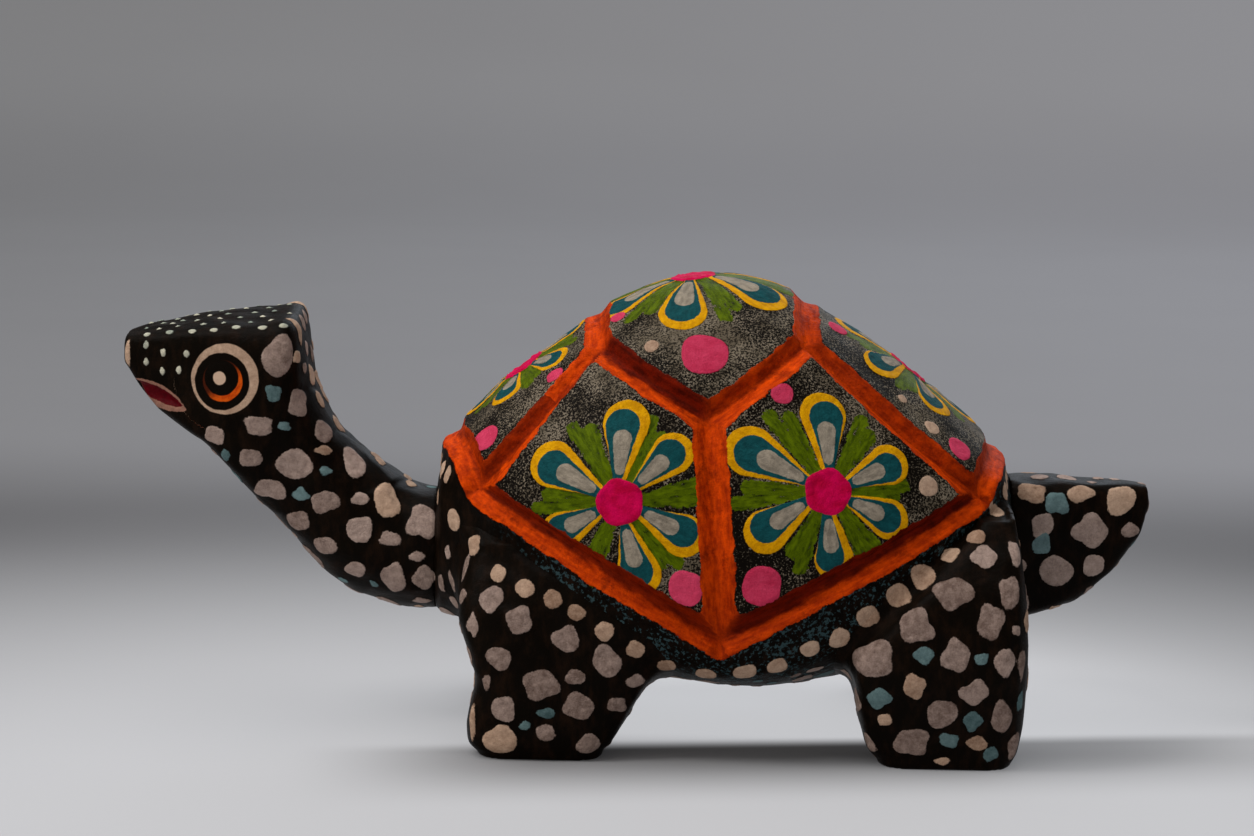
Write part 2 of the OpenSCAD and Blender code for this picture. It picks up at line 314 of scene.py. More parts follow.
def smooth(edge0, edge1, v):
    """0 at edge0, 1 at edge1, and smooth between."""
    t = np.clip((v - edge0) / (edge1 - edge0), 0, 1)
    return t * t * (3 - 2 * t)


def ripple(points, wavelength, seed, waves=7):
    """Smooth random ripples between about -1 and 1."""
    draw = np.random.default_rng(seed)
    total = np.zeros(len(points))
    for _ in range(waves):
        direction = draw.normal(size=3)
        direction *= 2 * math.pi / (wavelength * draw.uniform(0.7, 1.4) * np.linalg.norm(direction))
        total += np.sin(points @ direction + draw.uniform(0, 2 * math.pi))
    return total / waves ** 0.5 / 1.5


def knife_facets(points, normals, size, share, seed):
    """Shallow flats, as a knife leaves them: how far each point moves towards the flat that it lies on."""
    draw = np.random.default_rng(seed)
    wanted = max(8, int(len(points) / 12))
    pool = draw.permutation(len(points))[:wanted]
    centres = []
    for i in pool:
        if all(np.linalg.norm(points[i] - points[j]) > size for j in centres):
            centres.append(i)
    c, n = points[centres], normals[centres]
    near = np.empty(len(points), int)
    for start in range(0, len(points), 20000):
        part = points[start:start + 20000]
        near[start:start + 20000] = ((part[:, None, :] - c[None]) ** 2).sum(-1).argmin(1)
    facing = (normals * n[near]).sum(1)
    move = ((c[near] - points) * n[near]).sum(1)
    return share * np.clip(move, -1.2, 1.2) * smooth(0.6, 0.95, facing)


def relax(values, quads, times):
    """Values at the points, averaged over their neighbours."""
    for _ in range(times):
        faces = values[quads].mean(1)
        total, count = np.zeros(len(values)), np.zeros(len(values))
        for k in range(4):
            np.add.at(total, quads[:, k], faces)
            np.add.at(count, quads[:, k], 1)
        values = total / np.maximum(count, 1)
    return values


# ---------------- the groove network

def on_side(x, z, side):
    """Points of the shell's surface at x and z, on one side."""
    x, z = np.asarray(x, float), np.asarray(z, float)
    low, wide, top, half = shell_at(x)
    up = z >= wide
    power = np.where(up, 2, BELLY_SQUARENESS)
    share = np.clip(np.abs(z - wide) / np.where(up, top - wide, wide - low), 0, 1)
    y = side * half * (1 - share ** power) ** (1 / power)
    return np.stack([x, y, z], -1)


def on_top(x, y):
    """Points of the shell's upper surface at x and y."""
    x, y = np.asarray(x, float), np.asarray(y, float)
    _, wide, top, half = shell_at(x)
    share = np.clip(np.abs(y) / half, 0, 1)
    return np.stack([x, y, wide + (top - wide) * np.sqrt(1 - share ** 2)], -1)


CHAIN_POINTS = 160
SHELL_MIDDLE = np.array([12, 0, 24])


def side_chain(a, b, side):
    """From corner a to corner b over one side."""
    t = np.linspace(0, 1, CHAIN_POINTS)
    return on_side(a[0] + (b[0] - a[0]) * t, a[1] + (b[1] - a[1]) * t, side)


def over_chain(corner, reach):
    """From the left corner over the back, or round an end, to the right one."""
    y = on_side(*corner, LEFT)[1]
    c = np.cos(np.linspace(0, math.pi, CHAIN_POINTS))
    return on_top(corner[0] + reach * (1 - c * c), y * c)


# Bands over each side: two corners, whether on the rim, width as a share of the widest, upper wall's darkness
SIDE_BANDS = [
    (FRONT_CORNER, FRONT_TOP_CORNER, False, 0.78, 0.7),
    (FRONT_TOP_CORNER, SIDE_TOP_CORNER, False, 0.9, 1),
    (SIDE_TOP_CORNER, REAR_TOP_CORNER, False, 0.85, 0.35),
    (REAR_TOP_CORNER, REAR_CORNER, False, 0.85, 0.5),
    (SIDE_TOP_CORNER, SIDE_LOW_CORNER, False, 0.95, 0.15),
    (FRONT_CORNER, SIDE_LOW_CORNER, True, 0.8, 0.85),
    (SIDE_LOW_CORNER, REAR_CORNER, True, 0.82, 1),
]
# Bands from side to side: a corner, how far beyond it the band swings, and the same again
OVER_BANDS = [
    (FRONT_TOP_CORNER, 0, False, 0.85, 0.4),
    (REAR_TOP_CORNER, 0, False, 0.85, 0.4),
    (FRONT_CORNER, -FRONT_END_REACH, True, 0.9, 0.5),
    (REAR_CORNER, REAR_END_REACH, True, 0.9, 0.5),
]


def network():
    """The bands' middle lines: points, the direction across that counts as up, which are on the rim,
    lengths along them, depths, widths as a share of the widest, and how dark their upper walls are."""
    chains = [(side_chain(a, b, side), *rest) for side in (LEFT, RIGHT) for a, b, *rest in SIDE_BANDS]
    chains += [(over_chain(corner, reach), *rest) for corner, reach, *rest in OVER_BANDS]
    parts = []
    for number, (chain, rim, width, shade) in enumerate(chains):
        along = np.gradient(chain, axis=0)
        along /= np.linalg.norm(along, axis=1)[:, None]
        out = chain - SHELL_MIDDLE
        out[:, 0] *= 0.35
        across = np.cross(along, out)
        across /= np.linalg.norm(across, axis=1)[:, None]
        across *= np.where(across[:, 2] + 0.3 * across[:, 0] < 0, -1, 1)[:, None]
        steps = np.linalg.norm(np.diff(chain, axis=0), axis=1)
        length = 100 * number + np.concatenate([[0], np.cumsum(steps)])
        is_over = abs(chain[0, 1] + chain[-1, 1]) < 0.1
        same = np.ones(len(chain))
        low = np.cos(np.linspace(0, math.pi, len(chain))) ** 2 if is_over else same
        depth = OVER_DEPTH + (GROOVE_DEPTH - OVER_DEPTH) * low
        parts.append((chain, across, same == rim, length, depth, same * width, same * shade))
    return tuple(np.concatenate(part) for part in zip(*parts))


NET, NET_UP, NET_RIM, NET_ALONG, NET_DEPTH, NET_WIDTH, NET_SHADE = network()


def nearest(points, targets):
    """Index of the nearest target to each point, and its distance."""
    index = np.empty(len(points), int)
    far = np.empty(len(points))
    targets = targets.astype(np.float32)
    for start in range(0, len(points), 8000):
        part = points[start:start + 8000].astype(np.float32)
        square = (part ** 2).sum(1)[:, None] - 2 * part @ targets.T + (targets ** 2).sum(1)[None]
        best = square.argmin(1)
        index[start:start + 8000] = best
        far[start:start + 8000] = np.linalg.norm(part - targets[best], axis=1)
    return index, far


# ---------------- brush marks

# How uneven a mark's edge is, as a share of its size
ROUNDEST, ROUND, BRUSHED, RAGGED = 0.035, 0.05, 0.075, 0.11


class Marks:
    """Round brush marks of one paint: where each is, which way it faces, its half sizes, turn and tone."""

    def __init__(self):
        self.rows = []

    def add(self, centre, normal, a, b, turn=0.0, uneven=BRUSHED):
        tone, phase = rng.uniform(-1, 1), rng.uniform(0, 2 * math.pi, 3)
        size = rng.uniform(0.2, 1, 3) * uneven
        self.rows.append((np.array(centre), np.array(normal), a, b, turn, tone, phase, size))

    def add_at(self, piece, at, *shape):
        self.add(piece.points[at], piece.normals[at], *shape)

    def distances(self, points, normals):
        """Signed distance from each point to the nearest mark's edge, and that mark's tone."""
        best = np.full(len(points), FAR)
        tone = np.zeros(len(points))
        for centre, normal, a, b, turn, own_tone, phase, size in self.rows:
            reach = 1.5 * max(a, b) + 1.5
            offset = points - centre
            near = np.flatnonzero((np.abs(offset).max(1) < reach) & (normals @ normal > 0.25))
            if not len(near):
                continue
            u_axis, v_axis = tangent_axes(normal, turn)
            u, v = offset[near] @ u_axis, offset[near] @ v_axis
            angle = np.arctan2(v / b, u / a)
            edge = 1 + sum(size[k] * np.cos((k + 2) * angle + phase[k]) for k in range(3))
            gap = (np.hypot(u / a, v / b) / edge - 1) * min(a, b)
            closer = gap < best[near]
            best[near[closer]] = gap[closer]
            tone[near[closer]] = own_tone
        return best, tone


def tangent_axes(normal, turn=0.0):
    """Two directions in the surface: along it, then up it, both turned by an angle in radians."""
    up = np.array([0.0, 0.0, 1.0]) if abs(normal[2]) < 0.93 else np.array([0.0, -1.0, 0.0])
    v = up - normal * (up @ normal)
    v /= np.linalg.norm(v)
    u = np.cross(v, normal)
    if abs(normal[2]) < 0.93 and u[0] < 0:
        u = -u
    return u * math.cos(turn) + v * math.sin(turn), v * math.cos(turn) - u * math.sin(turn)


def find_side(piece, x, z, side):
    """The piece's point seen from one side at x and z, and the outer one of two that are as near."""
    points = piece.points
    seen = np.flatnonzero((piece.normals[:, 1] * side > 0.02) & (points[:, 1] * side > -1))
    miss = (points[seen, 0] - x) ** 2 + (points[seen, 2] - z) ** 2
    return seen[(miss - 0.02 * side * points[seen, 1]).argmin()]


def find_top(piece, x, y):
    """The piece's point seen from above at x and y."""
    points = piece.points
    seen = np.flatnonzero(piece.normals[:, 2] > 0.2)
    miss = (points[seen, 0] - x) ** 2 + (points[seen, 1] - y) ** 2
    return seen[(miss - 0.02 * points[seen, 2]).argmin()]


def capsule(u, v, base, tip, r_base, r_tip):
    """Signed distance to a drop shape along +u, from a small round at base to a larger round at tip."""
    length = tip - base
    v = np.abs(v)
    u = u - base
    lean = (r_base - r_tip) / length
    run = math.sqrt(1 - lean * lean)
    k = -lean * v + run * u
    side = run * v + lean * u - r_base
    beyond = np.where(k > run * length, np.hypot(u - length, v) - r_tip, side)
    return np.where(k < 0, np.hypot(u, v) - r_base, beyond)


# ---------------- where the paint goes

# Left side marks, given as x, z, half width, half height
NECK_MARKS = {
    "grey": [
        (-52, 54.6, 2.2, 2.9), (-49, 47.6, 1.9, 1.9), (-54.5, 44.1, 2.2, 1.4), (-61, 42.6, 1.6, 1.3),
        (-45.5, 43.1, 1.7, 1.7), (-56, 39.6, 1.7, 1.4), (-49.5, 38.6, 2.6, 2.3), (-53, 34.6, 2.2, 1.7),
        (-45, 33.1, 2, 1.7), (-41, 38.6, 1.9, 2.3), (-40, 33.6, 1.3, 0.9), (-31, 30.6, 2.2, 2.6),
        (-49, 30.1, 1.9, 1.6), (-40, 29.1, 1.9, 2), (-35.5, 28.1, 1.7, 1), (-45, 26.6, 1.7, 1.6),
        (-31.5, 25.6, 1.3, 0.7), (-40.5, 23.1, 1.7, 1.4), (-35, 22.1, 1.7, 2.5),
        (-30.5, 22.6, 1.6, 1.9), (-31, 18.6, 1.3, 0.8),
    ],
    "teal": [
        (-52.5, 49.1, 1.2, 1.2), (-51, 44.1, 1, 0.6), (-59.5, 39.6, 0.7, 1), (-45, 37.6, 1, 0.6),
        (-48.5, 34.1, 1.2, 1), (-38, 21.1, 0.7, 0.6),
    ],
    "peach": [
        (-45.5, 40.6, 1.3, 0.7), (-37, 39.1, 1.7, 0.9), (-36, 33.6, 2, 2.6), (-49.3, 57.9, 1.1, 1.9),
        (-49.2, 54.2, 0.9, 0.9), (-47.5, 51, 1.9, 1.6), (-45.9, 47.5, 1.5, 1.3),
        (-43.2, 43.9, 1.6, 1.3), (-32.5, 36.1, 1.6, 0.9), (-74.5, 53.6, 0.6, 1.7),
    ],
}
SHELL_MARKS = {
    "grey": [
        (-26.8, 27.2, 0.7, 1), (-25.9, 23, 0.8, 1.6), (-27.9, 22.4, 0.7, 1.4), (-26, 19.6, 0.7, 1.2),
    ],
}
FRONT_LEG_MARKS = {
    "grey": [
        (-20.2, 22.6, 1.7, 1.9), (-16, 20.1, 1.9, 1.9), (-9.5, 17.6, 1.9, 1.9), (-3.5, 14.6, 2.1, 2.2),
        (-19, 14.6, 1.7, 1.7), (-20.5, 11.1, 0.7, 1.1), (-13, 11.1, 2.6, 2.1), (-8, 12.1, 1.4, 1.1),
        (0.5, 11.6, 1.3, 1.1), (-18, 7.6, 1.8, 1.8), (-7.5, 8.1, 2.2, 1.9), (-2, 8.1, 1.5, 1.1),
        (-12, 4.1, 1.5, 1.1), (-6, 2.6, 1.8, 1.4), (-22.5, 19.1, 0.8, 1.7), (-24, 26.1, 0.8, 2.4),
    ],
    "teal": [(-12, 7.1, 1.1, 0.8), (-15, 5.1, 0.8, 0.7)],
    "peach": [(-18.5, 3.1, 2.2, 2.2), (-22.5, 5.1, 0.7, 2.6)],
}
REAR_LEG_MARKS = {
    "grey": [
        (49, 30.1, 1.8, 1.8), (44.5, 25.6, 2.6, 2.4), (39.5, 21.1, 2.4, 2.4), (33.5, 16.1, 3.2, 2.5),
        (45, 17.1, 1.9, 2.4), (52, 16.1, 1.4, 2.1), (54.5, 15.6, 0.8, 2.1), (50, 21.6, 1.8, 2.6),
        (52.5, 25.6, 1.5, 2.4), (53.5, 20.6, 0.7, 0.7), (53.5, 30.6, 0.8, 2.1), (48, 11.6, 1.9, 1.9),
        (43.5, 8.6, 2.1, 2.2), (52, 8.1, 1.5, 2.4), (39.5, 4.1, 2.5, 2.1), (54, 3.6, 1.1, 1.9),
    ],
    "teal": [
        (40.5, 17.1, 1.4, 1.2), (48.5, 16.6, 1.1, 0.8), (34.5, 10.6, 1.7, 1.5), (48, 7.6, 1.4, 1.4),
        (54.5, 10.1, 0.7, 1.5), (44.5, 4.6, 1.4, 1.1), (50.5, 2.6, 1, 1.2),
    ],
    "peach": [(39.5, 12.6, 1.5, 1.9), (35.5, 7.6, 1, 1), (48.5, 4.1, 1.4, 1.2), (44, 1.6, 1.1, 0.6)],
}
TAIL_MARKS = {
    "grey": [
        (59.5, 31.6, 1.7, 1.9), (66.5, 30.6, 2.5, 2.5), (72.5, 30.6, 1.2, 1.2), (62, 24.6, 2.5, 2.3),
        (67.5, 25.6, 1.6, 1.7),
    ],
    "teal": [(61.5, 34.6, 1.7, 1.7), (59.5, 28.6, 1.5, 1.5)],
    "peach": [(58, 36.1, 2.3, 1.5), (65, 36.1, 2, 1.3), (71, 35.1, 2.2, 2.2)],
}

# Pale dots on the snout: x, z
SNOUT_WHITE = [(-71.5, 55.1), (-69, 54.1), (-65.5, 54.1), (-71.5, 52.6), (-69, 51.6), (-66.5, 51.6)]

# Flowers on the left side: centre x and z, then each petal's direction in degrees and length
LEFT_FLOWERS = [
    ((-2.2, 37.4), [(90, 15), (46, 13.2), (-25, 13.2), (-72, 13.6), (-151, 12.6), (154, 15)]),
    ((26.7, 39.3), [(90, 14.8), (24, 13), (-23, 12.6), (-85, 12.4), (-148, 13.6), (151, 16)]),
]
# A petal's half widths, and how far along it each paint's round end stands, as shares of its length
PETAL_HALF, PETAL_END = 0.229, 0.765
TEAL_HALF, TEAL_END = 0.167, 0.735
STREAK_HALF, STREAK_END = 0.09, 0.6
# Pink and peach spots on the left side's plates: x, z, radius
LEFT_PINK = [
    (9.3, 57.3, 3.4), (-21.5, 44.1, 2.2), (-12, 53, 1.45), (-3.2, 60.9, 1.2),
    (20.1, 52.2, 1.6), (7.2, 25.5, 2.5), (17.6, 26.2, 2.85), (46, 44.1, 2), (28.7, 59.8, 1.6),
]
LEFT_PEACH = [(1.7, 58, 1.1), (41, 39.6, 1.5), (42, 46.9, 1.2), (37.8, 50.9, 0.8)]

EYE = (-59.7, 50.8)
EYE_CLEARANCE = 5.6   # no scattered mark comes nearer to its centre
MOUTH_FRONT = (-74.2, 49.9)
MOUTH_CORNER = (-65.7, 46.4)
MOUTH_HALF, MOUTH_DEPTH = 1.0, 0.45
LIPS_HALF, LIPS_AHEAD, LIPS_BELOW, LIPS_LONGER = 1.7, 0.5, 0.25, 1.1

# Peach dots under the rim on the left side: x, z, radius
RIM_DOTS = [
    (-28.7, 34.5, 1.1), (-26, 32.1, 1.5), (-22.8, 29.5, 1.3), (-19.1, 26.1, 1.15), (-15.4, 24.5, 1.4),
    (-11.5, 23.2, 1.4), (-8, 21.3, 1.3), (-3.9, 18.8, 1.4), (0.5, 16.5, 1.3), (4.6, 14.2, 1.3),
    (10.5, 13.3, 1.5), (15.7, 13.6, 1.7), (20.2, 14.4, 1.5), (24.7, 17, 1.5), (29, 18.5, 1.6),
    (32.8, 21.6, 1.7), (36.9, 24.5, 1.75), (40.5, 27, 1.8), (44.4, 30.1, 1.35), (48, 32.5, 1.4),
    (51.6, 35, 1.2),
]
END_DOT_GAP = 4.5
END_DOT_PITCH = 4.6


# ---------------- carved pieces

MARGIN = 2
LEG_ROOM = (4, 2, 2), (4, 5, 4)   # wider towards the belly, where the fillets are


class Carving:
    """A carved piece: its mesh in millimetres, its normals, and the paint values at its points."""

    def __init__(self, name, field, lo, step):
        self.name = name
        self.points, self.quads = mesh_from(field, lo, step)
        self.refresh()
        self.off_shell = np.full(len(self.points), FAR)
        self.paint = {}

    def refresh(self):
        """Works the normals out again after the points have moved."""
        self.normals = normals_of(self.points, self.quads)

    def push(self, amount):
        """Moves the points along their normals."""
        self.points = self.points + self.normals * amount[:, None]


def carve_shell(step):
    """The shell and belly block, with its two sockets."""
    lo, (x, y, z) = room_for("shell_body", MARGIN, MARGIN, step)
    field = shell_field(x, y, z, step)
    field = np.maximum(field, np.maximum(NECK_SEAT_X - x, x - TAIL_SEAT_X))
    for height, radius, depth, seat, way in ((*NECK_SOCKET, NECK_SEAT_X, 1), (*TAIL_SOCKET, TAIL_SEAT_X, -1)):
        hole = np.maximum(np.sqrt(y ** 2 + (z - height) ** 2) - radius, way * (x - seat) - depth)
        field = np.maximum(field, -hole)
    return Carving("shell", field, lo, step)


def near_rim(x, y, z, where):
    """1 at the left side's rim band and 0 away from it, worked out only where asked."""
    spots = np.stack([part[where] for part in np.broadcast_arrays(x, y, z)], -1)
    chain = NET[NET_RIM & (NET[:, 1] < 1)][::6]
    near = np.zeros(where.shape)
    near[where] = smooth(GROOVE_HALF_W + 3, GROOVE_HALF_W + 0.8, nearest(spots, chain)[1])
    return near


def carve_leg(name, front, right, step):
    """A leg, carved as a left one: a fillet runs out over the belly and dives under the rim band."""
    if front:
        sections, foot_out, fillet = FRONT_LEG_SECTIONS, FRONT_FOOT_OUT, FRONT_FILLET
    else:
        sections, foot_out, fillet = REAR_LEG_SECTIONS, REAR_FOOT_OUT, REAR_FILLET
    lo, (x, y, z) = room_for("front_left_leg" if front else "rear_left_leg", *LEG_ROOM, step)
    shell = shell_field(x, y, z, step)
    leg = leg_field(x, y, z, sections, foot_out, step)
    dive = np.maximum(smooth(0.5 * fillet, 1.3 * fillet, leg), near_rim(x, y, z, np.abs(shell) < 5))
    field = blend_union(leg, shell + 0.1 + 1.8 * dive, fillet)
    field = np.maximum(np.maximum(field, -(shell + 0.7 + 2.4 * dive)), -z)
    field = np.maximum(field, leg - 1.4 * fillet)
    piece = Carving(name, field, lo, step)
    spots = np.rint((piece.points - lo) / step).astype(int)
    piece.off_shell = shell[tuple(np.clip(spots, 0, np.array(shell.shape) - 1).T)]
    if right:
        piece.points[:, 1] *= -1
        piece.quads = piece.quads[:, ::-1]
        piece.refresh()
    return piece


def carve_end(name, field_at, seat, way, step):
    """The neck with the head, or the tail: what lies beyond its seat, which faces -X or +X."""
    lo, (x, y, z) = room_for(name, MARGIN, MARGIN, step)
    return Carving(name, np.maximum(field_at(x, y, z, step), way * (seat - x)), lo, step)


coarse = 1
SHELL_STEP, NECK_STEP, OTHER_STEP = 0.5 * coarse, 0.3 * coarse, 0.4 * coarse
shell = carve_shell(SHELL_STEP)
neck = carve_end("neck_and_head", neck_field, NECK_SEAT_X, -1, NECK_STEP)
tail = carve_end("tail", tail_field, TAIL_SEAT_X, 1, OTHER_STEP)
legs = {
    f"{end}_{side}_leg": carve_leg(f"{end}_{side}_leg", end == "front", side == "right", OTHER_STEP)
    for end in ("front", "rear") for side in ("left", "right")
}
skin = [neck, tail, *legs.values()]


# ---------------- knife work

RIPPLE_SEED, FINE_SEED, FLAT_SEED, WAVE_SEED = 6, 8, 3, 5
EDGE_SEED, FINE_EDGE_SEED = 11, 12


def knife_work():
    """Ripples over every carved piece, and flats on the ones that the knife left plain."""
    for piece in (*skin, shell):
        x, _, z = piece.points.T
        from_seat = np.minimum(np.abs(x - NECK_SEAT_X), np.abs(x - TAIL_SEAT_X))
        free = smooth(0, 2.5, from_seat) * smooth(0.3, 2, z)
        move = 0.2 * ripple(piece.points, 13, RIPPLE_SEED) + 0.07 * ripple(piece.points, 4, FINE_SEED)
        if piece is not shell:
            flats = knife_facets(piece.points, piece.normals, 6.5, 0.3, FLAT_SEED)
            flats += 0.12 * ripple(piece.points, 7, WAVE_SEED)
            move += relax(flats, piece.quads, 3) * smooth(0.3, 3.5, piece.off_shell)
        piece.push(move * free)
        piece.refresh()


V_BLUNTED = 0.88   # the share of a V's depth at which its bottom is flat


def carve_grooves():
    """The V grooves between the plates, and the paint values that go with them."""
    index, gap = nearest(shell.points, NET)
    across = ((shell.points - NET[index]) * NET_UP[index]).sum(1)
    wobble = 0.22 * ripple(shell.points, 6, EDGE_SEED) + 0.12 * ripple(shell.points, 2.4, FINE_EDGE_SEED)
    half = GROOVE_HALF_W * relax(NET_WIDTH[index], shell.quads, 3) + wobble
    place = np.where(across > 0, gap, -gap) / half
    floor = FLOOR_SHIFT * np.abs(NET_UP[index][:, 2])
    profile = np.where(place < floor, (place + 1) / (1 + floor), (1 - place) / (1 - floor))
    rounded = np.clip(profile, 0, V_BLUNTED) / V_BLUNTED
    lip = 0.15 * np.exp(-((gap - half - 0.4) / 0.7) ** 2)
    roll = 0.5 * np.exp(-((gap - half + 0.1) / 0.9) ** 2) * (NET_RIM[index] & (across < 0))
    shell.uncut_normals = shell.normals
    shell.push(lip + relax(roll, shell.quads, 2) - NET_DEPTH[index] * rounded)
    shell.paint |= {
        "band": gap - half - 0.25, "across": across / half, "shade": relax(NET_SHADE[index], shell.quads, 3),
        "band_u": NET_ALONG[index], "band_v": across,
    }
    rim_index, _ = nearest(shell.points, NET[NET_RIM])
    rim_up = ((shell.points - NET[NET_RIM][rim_index]) * NET_UP[NET_RIM][rim_index]).sum(1)
    shell.paint["skirt"] = smooth(0.5, -0.5, rim_up)
    shell.refresh()


def carve_mouth():
    """A shallow cut for the mouth on each side of the snout."""
    along, off = mouth_place(neck.points)
    length = math.dist(MOUTH_FRONT, MOUTH_CORNER)
    inside = vesica(along, off, length, MOUTH_HALF)
    lips = vesica(along + LIPS_AHEAD, off + LIPS_BELOW, length + LIPS_LONGER, LIPS_HALF)
    on_cheek = np.abs(neck.normals[:, 1]) > 0.15
    neck.push(-MOUTH_DEPTH * smooth(0.1, -0.6, inside) * on_cheek)
    neck.paint["mouth"] = np.where(on_cheek, inside, FAR)
    neck.paint["lips"] = np.where(on_cheek, lips, FAR)
    neck.refresh()


def mouth_place(points):
    """Distance along the mouth from its front, and off its line, in the side view."""
    front, corner = np.array(MOUTH_FRONT), np.array(MOUTH_CORNER)
    way = (corner - front) / np.linalg.norm(corner - front)
    offset = points[:, [0, 2]] - front
    return offset @ way, offset @ np.array([-way[1], way[0]])


def vesica(along, off, length, half):
    """Signed distance to a pointed oval between 0 and length along one axis."""
    radius = (length ** 2 / 4 + half ** 2) / (2 * half)
    centre = radius - half
    return np.hypot(along - length / 2, np.abs(off) + centre) - radius


knife_work()
carve_grooves()
carve_mouth()


# ---------------- painting

# The flowers on top and at the ends: centre x and y, how far round the first petal stands and how much each
# may stray, in degrees, the petals' length, and the direction that counts as 0 degrees
UPPER_FLOWERS = [
    (7.6, -0.6, 38, 3, 16.2, (1, 0, 0)),
    (-16.7, -0.8, 0, 6, 11.4, (1, 0, 1)),
    (39.3, -0.8, 0, 6, 13.2, (-1, 0, 1)),
]
FLOWER_REACH = 21
HEART_RADIUS = 3.3
PETAL_BASE, STREAK_BASE, LEAF_BASE = 3.2, 4.5, 3   # how far from the centre each starts
LEAF_BLADES = ((-5.5, 0.84), (5, 0.95))   # turn in degrees, and length as a share of a petal's


def paint_flowers():
    """Six-petalled flowers on all seven plates."""
    layers = {k: np.full(len(shell.points), FAR) for k in ("leaf", "yellow", "petal", "streak", "centre")}
    layers |= {k: np.zeros(len(shell.points)) for k in ("leaf_u", "leaf_v", "yellow_u", "yellow_v")}

    def flower(at, petals, zero=None):
        centre, normal = shell.points[at], shell.normals[at]
        if zero is None:
            u_axis, v_axis = tangent_axes(normal)
        else:
            u_axis = np.array(zero) - normal * (np.array(zero) @ normal)
            u_axis /= np.linalg.norm(u_axis)
            v_axis = np.cross(u_axis, normal)
        offset = shell.points - centre
        far = np.linalg.norm(offset, axis=1)
        near = np.flatnonzero((far < FLOWER_REACH) & (shell.normals @ normal > 0.1))
        u, v = offset[near] @ u_axis, offset[near] @ v_axis
        unroll = far[near] / np.maximum(np.hypot(u, v), 0.01)
        u, v = u * unroll, v * unroll

        def add(layer, angle, *shape, shift=0.0):
            a = math.radians(angle)
            cu, cv = u * math.cos(a) + v * math.sin(a), v * math.cos(a) - u * math.sin(a)
            gap = capsule(cu, cv - shift, *shape)
            closer = gap < layers[layer][near]
            layers[layer][near[closer]] = gap[closer]
            if f"{layer}_u" in layers:
                layers[f"{layer}_u"][near[closer]] = cu[closer]
                layers[f"{layer}_v"][near[closer]] = cv[closer] + 20 * angle

        petals = sorted((a % 360, length) for a, length in petals)
        for k, (angle, length) in enumerate(petals):
            next_angle, next_length = petals[(k + 1) % len(petals)]
            after = next_angle + (360 if k == len(petals) - 1 else 0)
            leaf = (angle + after) / 2
            reach = (length + next_length) / 2
            for turn, share in LEAF_BLADES:
                add("leaf", leaf + turn, LEAF_BASE, share * reach - 1.2, 0.6, 1.1)
            shift = rng.uniform(-0.6, 0.6)
            add("yellow", angle, PETAL_BASE, length * PETAL_END, 0.75, length * PETAL_HALF)
            add("petal", angle, PETAL_BASE, length * TEAL_END, 0.6, length * TEAL_HALF, shift=shift)
            tip, half = length * STREAK_END, length * STREAK_HALF
            add("streak", angle, STREAK_BASE, tip, 0.7, half, shift=shift * 0.6)
        wobble = 0.12 * np.cos(5 * np.arctan2(v, u) + rng.uniform(0, 6))
        layers["centre"][near] = np.minimum(layers["centre"][near], np.hypot(u, v) - HEART_RADIUS + wobble)

    for (x, z), petals in LEFT_FLOWERS:
        flower(find_side(shell, x, z, LEFT), petals)
        turned = [(a + rng.uniform(-12, 12), length - 0.4) for a, length in petals]
        flower(find_side(shell, x + 0.6, z + 0.4, RIGHT), turned)
    for x, y, first, stray, length, zero in UPPER_FLOWERS:
        petals = [(a + first + rng.uniform(-stray, stray), length) for a in range(0, 360, 60)]
        flower(find_top(shell, x, y), petals, zero)
    shell.paint.update(layers)


def paint_spots():
    """Pink and peach spots on the plates, and the row of peach dots under the rim."""
    pink, peach = Marks(), Marks()
    for marks, spots in ((pink, LEFT_PINK), (peach, LEFT_PEACH)):
        for x, z, radius in spots:
            for side in (LEFT, RIGHT):
                at = find_side(shell, x, z, side)
                marks.add_at(shell, at, radius, radius, 0, ROUNDEST)
    for x, z, radius in RIM_DOTS:
        for side in (LEFT, RIGHT):
            dx, dz = rng.normal(0, 0.3, 2) if side == RIGHT else (0, 0)
            spot = showing(x + dx, z + dz, side)
            peach.add(*spot, radius, radius * rng.uniform(0.9, 1.1), 0, ROUND)
    add_row(peach, over_chain(FRONT_CORNER, -FRONT_END_REACH))
    add_row(peach, over_chain(REAR_CORNER, REAR_END_REACH))
    pink_gap, pink_tone = pink.distances(shell.points, shell.normals)
    peach_gap, peach_tone = peach.distances(shell.points, shell.normals)
    tone = np.where(pink_gap < peach_gap, pink_tone, peach_tone)
    shell.paint |= {"pink": pink_gap, "peach": peach_gap, "tone": tone}
    return peach


def showing(x, z, side):
    """The outermost point of the shell or a leg at x and z on one side, and the way a brush would meet it."""
    found = []
    for piece in (shell, *legs.values()):
        if piece is shell or (side == LEFT) == ("left" in piece.name):
            at = find_side(piece, x, z, side)
            point = piece.points[at]
            if math.hypot(point[0] - x, point[2] - z) < 1.2:
                found.append((side * point[1], at, piece))
    _, at, piece = max(found, key=lambda entry: entry[0])
    facing = piece.normals[at] + np.array([0, 0.8 * side, 0])
    return piece.points[at], facing / np.linalg.norm(facing)


